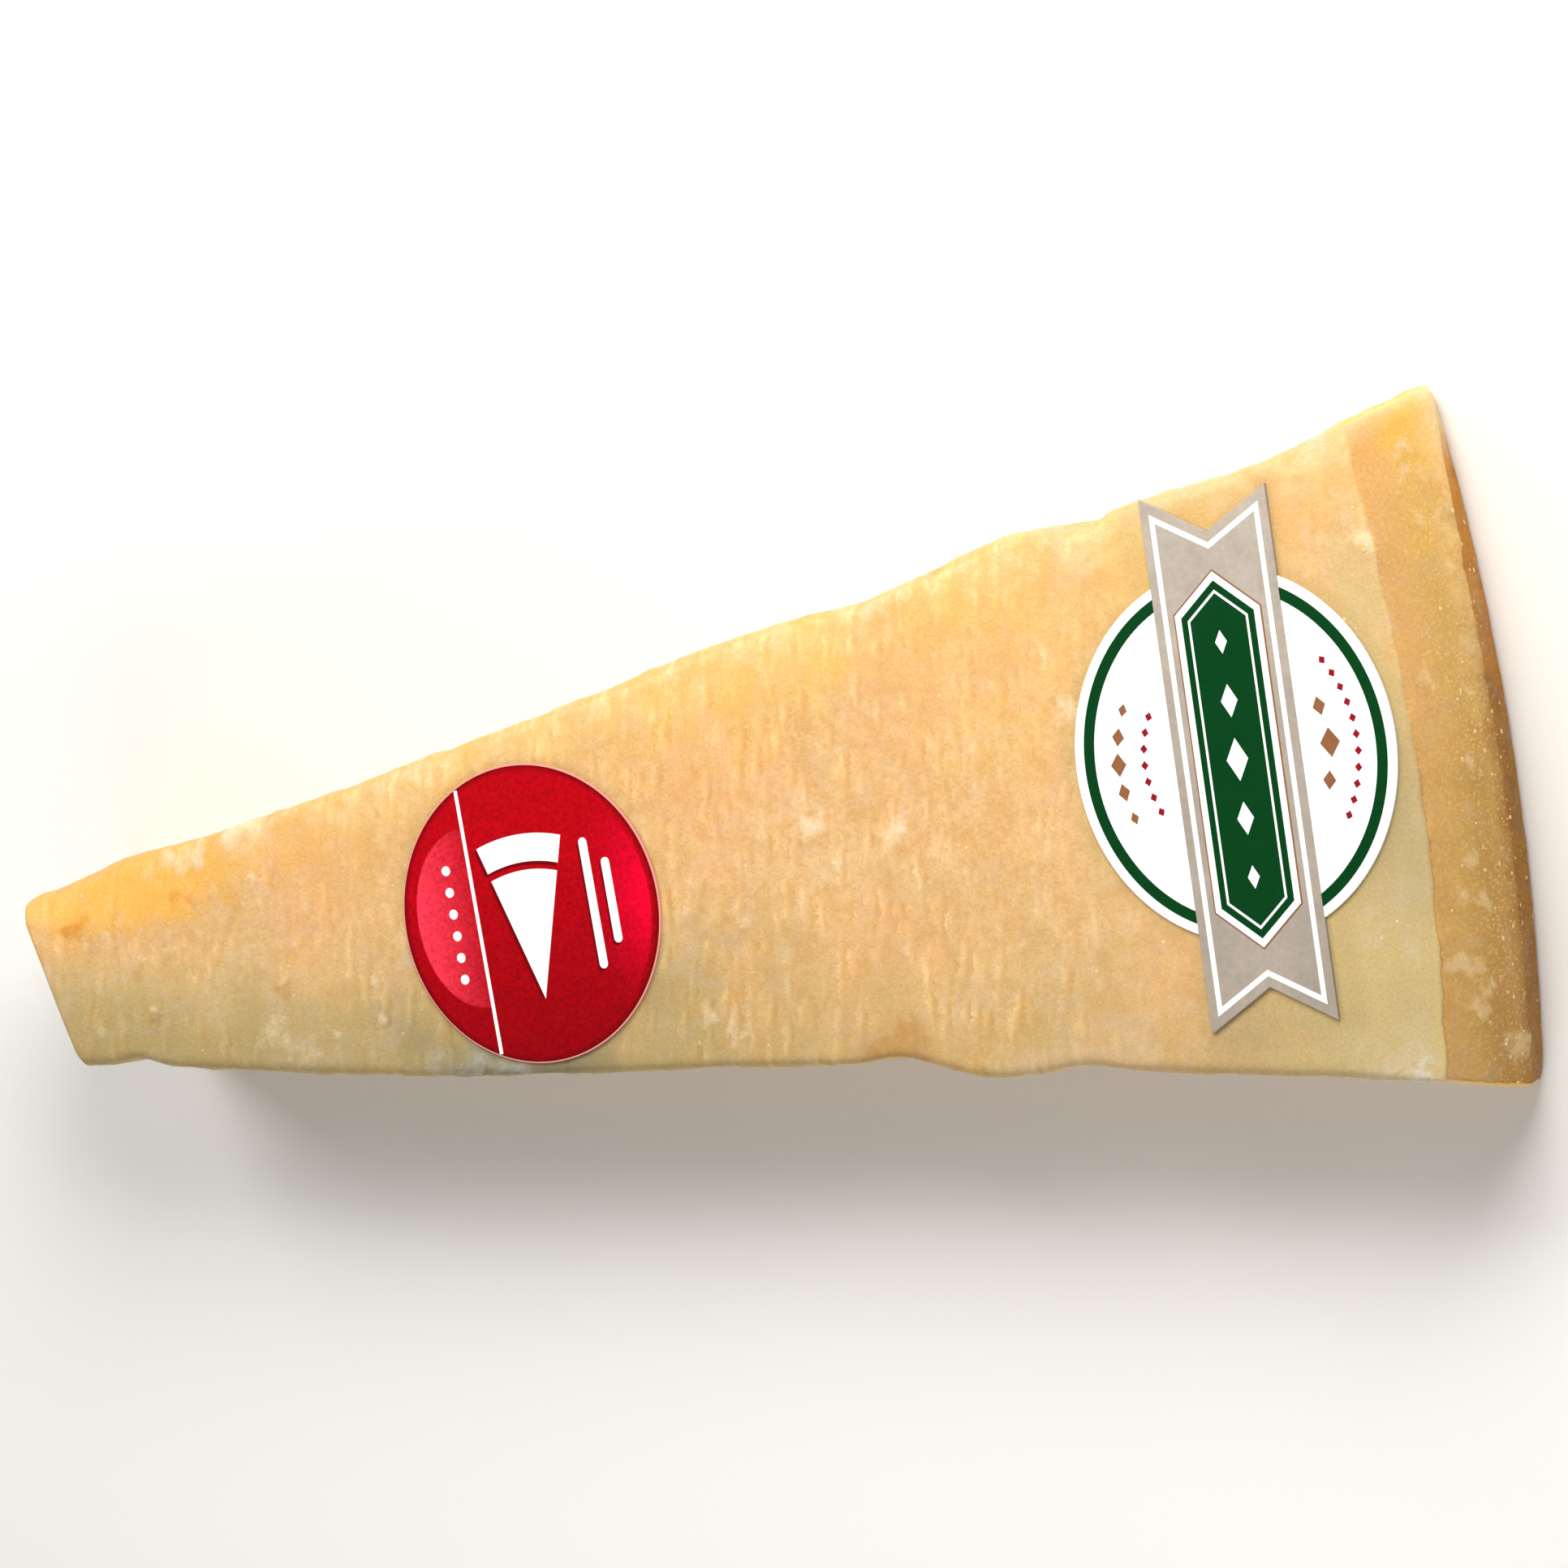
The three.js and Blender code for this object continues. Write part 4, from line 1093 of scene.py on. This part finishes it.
class CheeseSettings(bpy.types.PropertyGroup):
    """Colours and relief of the cheese."""
    paste_cream: colour_setting("Cream paste", "Lighter body of the cut paste", 0xDFB882)
    paste_ochre: colour_setting("Ochre paste", "Darker body of the cut paste", 0xD1A365)
    # Partly painted light: the left side is lighter where the lamp falls.
    paste_yellow_lit_side: colour_setting("Yellow paste", "Left side of the wedge", 0xE6B75D)
    # Partly painted shade, on the right side and round the labels.
    paste_khaki_and_shade: colour_setting("Khaki paste", "Right side and narrow end of the wedge", 0xAE9762)
    paste_warm: colour_setting("Warm paste", "Blushes in the paste", 0xE0A66C)
    # Also the painted highlight along the left edge, which the description calls the bloom.
    pale_paste_and_highlight: colour_setting("Pale paste", "Dry paste, trickles and the bloom at the edges", 0xF2D6A4)
    # At the narrow end's right this is painted shade.
    paste_dull: colour_setting("Dull paste", "Paste beside the rind and at the narrow end's right", 0xC2AC75)
    # The facet's yellow is partly a painted highlight where it faces the light.
    facet_yellow_highlight: colour_setting("Facet", "Worn facet beside the tip", 0xEEB046)
    # Painted light: the rind's left end is lighter where the lamp falls.
    rind_lit_yellow: colour_setting("Yellow rind", "Left end of the rind", 0xFFC048)
    paste_amber: colour_setting("Amber paste", "Stains and pits in the paste", 0xCC9040)
    crystal: colour_setting("Crystals", "White specks and dry spots in the paste", 0xF0DDBC)
    rind_gold: colour_setting("Golden rind", "Rind towards the left", 0xE7B966)
    rind_tan: colour_setting("Tan rind", "Rind towards the right", 0xC9A253)
    rind_orange: colour_setting("Orange rind", "Smooth rind just below the cut", 0xE6AE6C)
    # Partly painted shade: below the ridge and just above it at the right.
    rind_brown_and_shade: colour_setting("Brown rind", "Rind below the ridge", 0xA06C14)
    rind_foot: colour_setting("Rind foot", "Amber of the rind below its ridge, at the left", 0xC98622)
    # On the ridge its paleness is partly wear and partly a painted highlight.
    rind_worn_and_highlight: colour_setting("Worn rind", "Rubbed ridge, dry grains and marks on the rind", 0xF2CF94)
    crag_depth: length_setting("Crag depth", "Relief of the split sides", 1.1)
    crag_size: FloatProperty(name="Crag size", description="Size of the paste's lumps, in millimetres",
                             default=6.5, min=1)
    face_depth: length_setting("Face depth", "Depth of the waves on the cut face", 0.3)
    rind_depth: length_setting("Rind depth", "Relief of the rind", 0.35)
    grain_density: FloatProperty(name="Grains", description="Dry grains on each square metre of grainy rind",
                                 default=5e5, min=0)
    grain_size: length_setting("Largest grain", "Radius of the largest dry grain", 0.32)
    film_tint: colour_setting("Film", "Milky film", 0xF4F6FA)
    film_veil: FloatProperty(name="Veil", description="How much the tight film hides",
                             default=0.02, min=0, max=1, subtype="FACTOR")
    # The milky film is partly a painted reflection of the film's glints.
    film_haze: FloatProperty(name="Haze", description="How much the film hides where it stands off",
                             default=0.35, min=0, max=1, subtype="FACTOR")
    film_gap: length_setting("Film gap", "How far the film stands off the cheese", 0.1)
    wrinkle_height: length_setting("Wrinkle height", "Height of the film's wrinkles", 0.16)
    wrinkle_size: FloatProperty(name="Wrinkle size", default=11, min=1,
                                description="Width of the film's wrinkled patches, in millimetres")
    spot_height: length_setting("Spot height", "How far dry spots stand proud", 0.14)


class LabelSettings(bpy.types.PropertyGroup):
    """Colours of the two labels."""
    white: colour_setting("White paper", "Bare paper and white print", 0xF6F5F2)
    grey: colour_setting("Ribbon", "Grey-beige field of the ribbon", 0xA79C90)
    green: colour_setting("Green ink", "Ring and name plate", 0x003B16)
    brown: colour_setting("Brown ink", "Lozenges and hairlines", 0x8C5C3C)
    red_ink: colour_setting("Red ink", "Small lozenges on the white disc", 0x8E1220)
    red: colour_setting("Red", "Field of the round label", 0xB0000E)
    red_light: colour_setting("Light red", "Crescent at the left of the round label", 0xF2384E)
    red_glow: colour_setting("Bright red", "Glow at the right of the round label", 0xE6002E)
    # The darker foot is painted shade towards the wedge's right side.
    red_deep_and_shade: colour_setting("Deep red", "Dark line round the round label and its darker foot", 0x5C0006)
    red_shade: colour_setting("Shade", "Printed shade behind the white shapes", 0x70000A)
    edge: colour_setting("Paper edge", "Cut edge of the round label", 0xE99C92)


class StageSettings(bpy.types.PropertyGroup):
    """Camera, floor and lights."""
    lean: FloatProperty(name="Lean", description="How far the view leans from straight above to the rind",
                        default=math.radians(31), subtype="ANGLE")
    roll: FloatProperty(name="Roll", description="How far the wedge is turned in the picture",
                        default=math.radians(10.5), subtype="ANGLE")
    swing: FloatProperty(name="Swing", description="How far the view swings round to the left side",
                         default=math.radians(0.5), subtype="ANGLE")
    key_power: FloatProperty(name="Key light", description="Power of the main soft light",
                             default=1.18, min=0, unit="POWER")
    tip_power: FloatProperty(name="Tip light", description="Power of the light beyond the tip",
                             default=0.72, min=0, unit="POWER")
    soft_power: FloatProperty(name="Soft light", description="Power of the wide light at the right side",
                              default=0.72, min=0, unit="POWER")
    fill: FloatProperty(name="Fill", description="Brightness of the surroundings", default=0.18, min=0)
    floor: colour_setting("Floor", "Plain pale floor", 0xEFEEEC)


# ---------------------------------------------------------------- operators

class CHEESE_OT_stage(bpy.types.Operator):
    """Sets up the camera, the pale floor and soft studio light"""
    bl_idname = "cheese.stage"
    bl_label = "Stage"

    def execute(self, context):
        scene = context.scene
        stage = scene.cheese_stage
        scene.view_settings.view_transform = "Standard"

        # The camera looks down on the cut face, leaning towards the rind.
        lean, roll = stage.lean, stage.roll
        ahead = Vector((math.cos(stage.swing), math.sin(stage.swing), 0))
        leftwards = Vector((-ahead.y, ahead.x, 0))
        above = Vector((0, 0, 1))
        towards = ahead * math.sin(lean) + above * math.cos(lean)
        outwards = ahead * math.cos(lean) - above * math.sin(lean)
        right = outwards * math.cos(roll) - leftwards * math.sin(roll)
        up = outwards * math.sin(roll) + leftwards * math.cos(roll)
        camera_data = bpy.data.cameras.new("camera")
        camera_data.sensor_width = SENSOR_WIDTH
        camera_data.lens = SENSOR_WIDTH * VIEW_DISTANCE / VIEW_WIDTH
        camera_data.clip_start = 0.05
        camera = new_piece("camera", camera_data)
        turn = Matrix((right, up, towards)).transposed().to_4x4()
        target = WHEEL_AXIS + VIEW_AT * MM
        camera.matrix_world = Matrix.Translation(target + towards * VIEW_DISTANCE * MM) @ turn
        scene.camera = camera

        # Plain pale floor.
        mesh = bpy.data.meshes.new("floor")
        outline = ellipse((0, 0), (FLOOR_RADIUS * MM,) * 2, steps=64)
        mesh.from_pydata(loop(outline, -FLOOR_DROP * MM), [], [list(range(len(outline)))])
        floor = new_piece("floor", mesh)
        painted = bpy.data.materials.new("matt_painted_board")
        painted.use_nodes = True
        shader = painted.node_tree.nodes["Principled BSDF"]
        shader.inputs["Base Color"].default_value = stage.floor
        shader.inputs["Roughness"].default_value = 0.85
        shader.inputs["Specular IOR Level"].default_value = 0.2
        mesh.materials.append(painted)

        # A soft box beyond the left corner of the rind, a weaker one beyond the tip, and a pale surround.
        middle = Vector((0.02, 0, 0.01))
        for name, place, width, height, power, colour in (
            ("key", (0.14, 0.20, 0.22), 0.24, 0.18, stage.key_power, (1.0, 0.98, 0.94)),
            ("tip_light", (-0.20, 0.22, 0.26), 0.20, 0.16, stage.tip_power, (1.0, 0.98, 0.95)),
            ("low_fill", (0.05, -0.34, 0.22), 0.40, 0.20, stage.soft_power, (1.0, 0.99, 0.97)),
        ):
            light = bpy.data.lights.new(name, "AREA")
            light.shape = "RECTANGLE"
            light.size = width
            light.size_y = height
            light.energy = power
            light.color = colour
            lamp = new_piece(name, light)
            lamp.location = place
            lamp.rotation_euler = (middle - lamp.location).to_track_quat("-Z", "Y").to_euler()
        world = bpy.data.worlds.new("surround")
        world.use_nodes = True
        surround = world.node_tree.nodes["Background"]
        surround.inputs["Color"].default_value = (0.98, 0.99, 1.0, 1.0)
        surround.inputs["Strength"].default_value = stage.fill
        scene.world = world
        return {"FINISHED"}


def relief_values(look, material):
    return {
        "Crag depth": look.crag_depth, "Crag size": look.crag_size, "Face depth": look.face_depth,
        "Rind depth": look.rind_depth, "Spot height": look.spot_height, "Material": material,
    }


class CHEESE_OT_wedge(bpy.types.Operator):
    """Builds the wedge of cheese with its relief, its material and the dry grains on its rind"""
    bl_idname = "cheese.wedge"
    bl_label = "Cheese wedge"

    def execute(self, context):
        look = context.scene.cheese_look
        cheese = new_piece("cheese", wedge_mesh("cheese", CHEESE_CELLS))
        run_nodes(cheese, relief_tree(), relief_values(look, cheese_material(look)))
        grains = new_piece("rind_grains", cheese.data.copy())
        run_nodes(grains, grain_tree(), {
            "Density": look.grain_density, "Smallest": 0.06 * MM, "Largest": look.grain_size, "Seed": 11,
            "Material": grain_material(look),
        })
        hand_in(cheese, "cheese", "cheese_wedge")
        hand_in(grains, "cheese")
        return {"FINISHED"}


class CHEESE_OT_film(bpy.types.Operator):
    """Draws clear film tight round the wedge"""
    bl_idname = "cheese.film"
    bl_label = "Film"

    def execute(self, context):
        look = context.scene.cheese_look
        film = new_piece("film", wedge_mesh("film", FILM_CELLS))
        material = film_material(look)
        run_nodes(film, relief_tree(), relief_values(look, material))
        run_nodes(film, film_tree(), {
            "Gap": look.film_gap, "Gap under labels": 0.04 * MM, "Wrinkle height": look.wrinkle_height,
            "Wrinkle size": look.wrinkle_size, "Material": material,
        })
        hand_in(film, "cheese", "cheese_wedge")
        return {"FINISHED"}


class CHEESE_OT_round_label(bpy.types.Operator):
    """Builds the round red label with its white line and plain white shapes"""
    bl_idname = "cheese.round_label"
    bl_label = "Round label"

    def execute(self, context):
        look = context.scene.cheese_labels
        white = label_paper("white_print", look.white, 0.4, 0.01)
        edge = label_paper("red_label_paper_edge", look.edge, 0.6, 0.03)
        red = red_material(look, in_frame(ROUND_AT.x, ROUND_AT.y, 0.0))
        shade = label_paper("dark_red_print", look.red_shade, 0.35, 0.1)
        rim = ellipse(ROUND_AT, (ROUND_RADIUS,) * 2)
        field = ellipse(ROUND_AT, (ROUND_RADIUS - 0.15,) * 2)
        parts = [(paper(rim, PAPER_LOW, PAPER_TOP), edge), (ink(field, 1), red)]

        # Places on the label are millimetres from its middle: along the wedge, then to the left side.
        half = math.sqrt((ROUND_RADIUS - 0.25) ** 2 - LINE_AT ** 2)
        line = [(LINE_AT + LINE_WIDTH / 2 * u, half * v) for u, v in ((-1, -1), (1, -1), (1, 1), (-1, 1))]
        parts.append((ink(turned(line, ROUND_AT, 0), 2), white))

        # A slice of a wheel, its rind set off by a gap, and two bars. Each has a printed shade beside it.
        half_angle, foot, steps = math.radians(17.5), -8.6, 16
        angles = [half_angle * (2 * n / steps - 1) for n in range(steps + 1)]
        shapes = []
        for low, high in ((0.0, 13.0), (13.8, 16.6)):
            far, near = ([(radius * math.sin(a), foot + radius * math.cos(a)) for a in angles]
                         for radius in (high, low))
            shapes.append(((near if low else [(0, foot)]) + far[::-1], 0, (-0.32, -0.3)))
        for offset, length in ((7.4, 13.2), (9.6, 8.6)):
            shapes.append((stadium(0.95, length), offset, (-0.26, -0.24)))
        for outline, offset, shift in shapes:
            place = ROUND_AT + Vector((offset, 0))
            parts.append((ink(turned(outline, place + Vector(shift), 0), 2), shade))
            parts.append((ink(turned(outline, place, 0), 3), white))
        label = new_piece("round_red_label", label_mesh("round_red_label", parts))
        dotted = turned([(-9.0, -5.4), (-9.0, 5.6)], ROUND_AT, 0)
        dots = printed_row(row_tree(), "dots", dotted, 2, white, count=6, sides=20, width=1.0, length=1.0)
        join(label, [dots])
        hand_in(label, "red_label", "round_label")
        return {"FINISHED"}


class CHEESE_OT_ribbon_label(bpy.types.Operator):
    """Builds the white disc and grey-beige ribbon with plain printed shapes"""
    bl_idname = "cheese.ribbon_label"
    bl_label = "Ribbon label"

    def execute(self, context):
        look = context.scene.cheese_labels
        white = label_paper("white_label_paper", look.white, 0.45, 0.012)
        grey = label_paper("grey_beige_print", look.grey, 0.5, 0.06, 0.1)
        green = label_paper("green_print", look.green, 0.4, 0.06)
        brown = label_paper("brown_print", look.brown, 0.45, 0.06)
        red = label_paper("red_print", look.red_ink, 0.45, 0.06)

        parts = [(paper(ellipse(BADGE_AT, BADGE_RADII), PAPER_LOW, PAPER_TOP), white)]
        ring = (ellipse(BADGE_AT, radii) for radii in ((16.75, 17.35), (15.6, 16.25)))
        parts.append((band(*ring, PAPER_TOP - INK, PAPER_TOP + INK), green))

        w, l = RIBBON_WIDTH / 2, RIBBON_LENGTH / 2
        ribbon = [(-w, -l), (0, RIBBON_NOTCH - l), (w, -l), (w, l), (0, l - RIBBON_NOTCH), (-w, l)]
        place = (RIBBON_AT, RIBBON_TURN)
        parts.append((paper(turned(ribbon, *place), PAPER_LOW, PAPER_TOP + 2 * INK), grey))

        # A blank name plate with pointed ends: brown hairline, white border, green field, cream line.
        plate = [(0, -18.6), (4.9, -14.6), (4.9, 14.6), (0, 18.6), (-4.9, 14.6), (-4.9, -14.6)]
        for margin, layer, material in ((0, 3, brown), (0.16, 4, white), (0.85, 5, green)):
            parts.append((ink(turned(inset(plate, margin), *place), layer), material))
        for outline, outer, inner, layer in ((ribbon, 0.95, 1.5, 3), (plate, 1.55, 1.8, 6)):
            line = (turned(inset(outline, margin), *place) for margin in (outer, inner))
            parts.append((band(*line, PAPER_TOP, PAPER_TOP + layer * INK), white))
        label = new_piece("ribbon_label_dressed", label_mesh("ribbon_label_dressed", parts))

        # Rows of lozenges: path, layer, ink, count, width, length, and how much they shrink to the ends.
        tree = row_tree()
        middle = turned([(0, -11.5), (0, 11.5)], *place)
        rows = [
            printed_row(tree, name, path, layer, material, count, 4, width, length, grading)
            for name, path, layer, material, count, width, length, grading in (
                ("plate_row", middle, 6, white, 5, 2.4, 4.2, 0.9),
                ("left_lozenges", arc_path(BADGE_AT, 13.0, 152, 200), 1, brown, 5, 1.7, 2.3, 0.9),
                ("left_bars", arc_path(BADGE_AT, 10.1, 150, 205), 1, red, 7, 0.8, 0.9, 0),
                ("right_bars", arc_path(BADGE_AT, 13.6, -34, 34), 1, red, 11, 0.8, 0.9, 0),
                ("right_lozenges", arc_path(BADGE_AT, 10.6, -22, 18), 1, brown, 3, 2.2, 2.9, 0.7),
            )
        ]
        join(label, rows)
        hand_in(label, "white_label", "ribbon_label")
        return {"FINISHED"}


class CHEESE_PT_panel(bpy.types.Panel):
    """Lists the pieces of the wedge and their settings"""
    bl_label = "Cheese wedge"
    bl_idname = "CHEESE_PT_panel"
    bl_space_type = "VIEW_3D"
    bl_region_type = "UI"
    bl_category = "Cheese"

    def draw(self, context):
        for settings, operators in (
            (context.scene.cheese_stage, ("cheese.stage",)),
            (context.scene.cheese_look, ("cheese.wedge", "cheese.film")),
            (context.scene.cheese_labels, ("cheese.round_label", "cheese.ribbon_label")),
        ):
            box = self.layout.box()
            for name in settings.bl_rna.properties.keys():
                if name not in ("rna_type", "name"):
                    box.prop(settings, name)
            for operator in operators:
                box.operator(operator)


CLASSES = (
    CheeseSettings, LabelSettings, StageSettings, CHEESE_OT_stage, CHEESE_OT_wedge, CHEESE_OT_film,
    CHEESE_OT_round_label, CHEESE_OT_ribbon_label, CHEESE_PT_panel,
)


def register():
    for cls in CLASSES:
        bpy.utils.register_class(cls)
    bpy.types.Scene.cheese_look = PointerProperty(type=CheeseSettings)
    bpy.types.Scene.cheese_labels = PointerProperty(type=LabelSettings)
    bpy.types.Scene.cheese_stage = PointerProperty(type=StageSettings)


def unregister():
    del bpy.types.Scene.cheese_stage
    del bpy.types.Scene.cheese_labels
    del bpy.types.Scene.cheese_look
    for cls in reversed(CLASSES):
        bpy.utils.unregister_class(cls)


def main():
    register()
    bpy.ops.cheese.stage()
    bpy.ops.cheese.wedge()
    bpy.ops.cheese.film()
    bpy.ops.cheese.round_label()
    bpy.ops.cheese.ribbon_label()


if __name__ == "__main__":
    main()
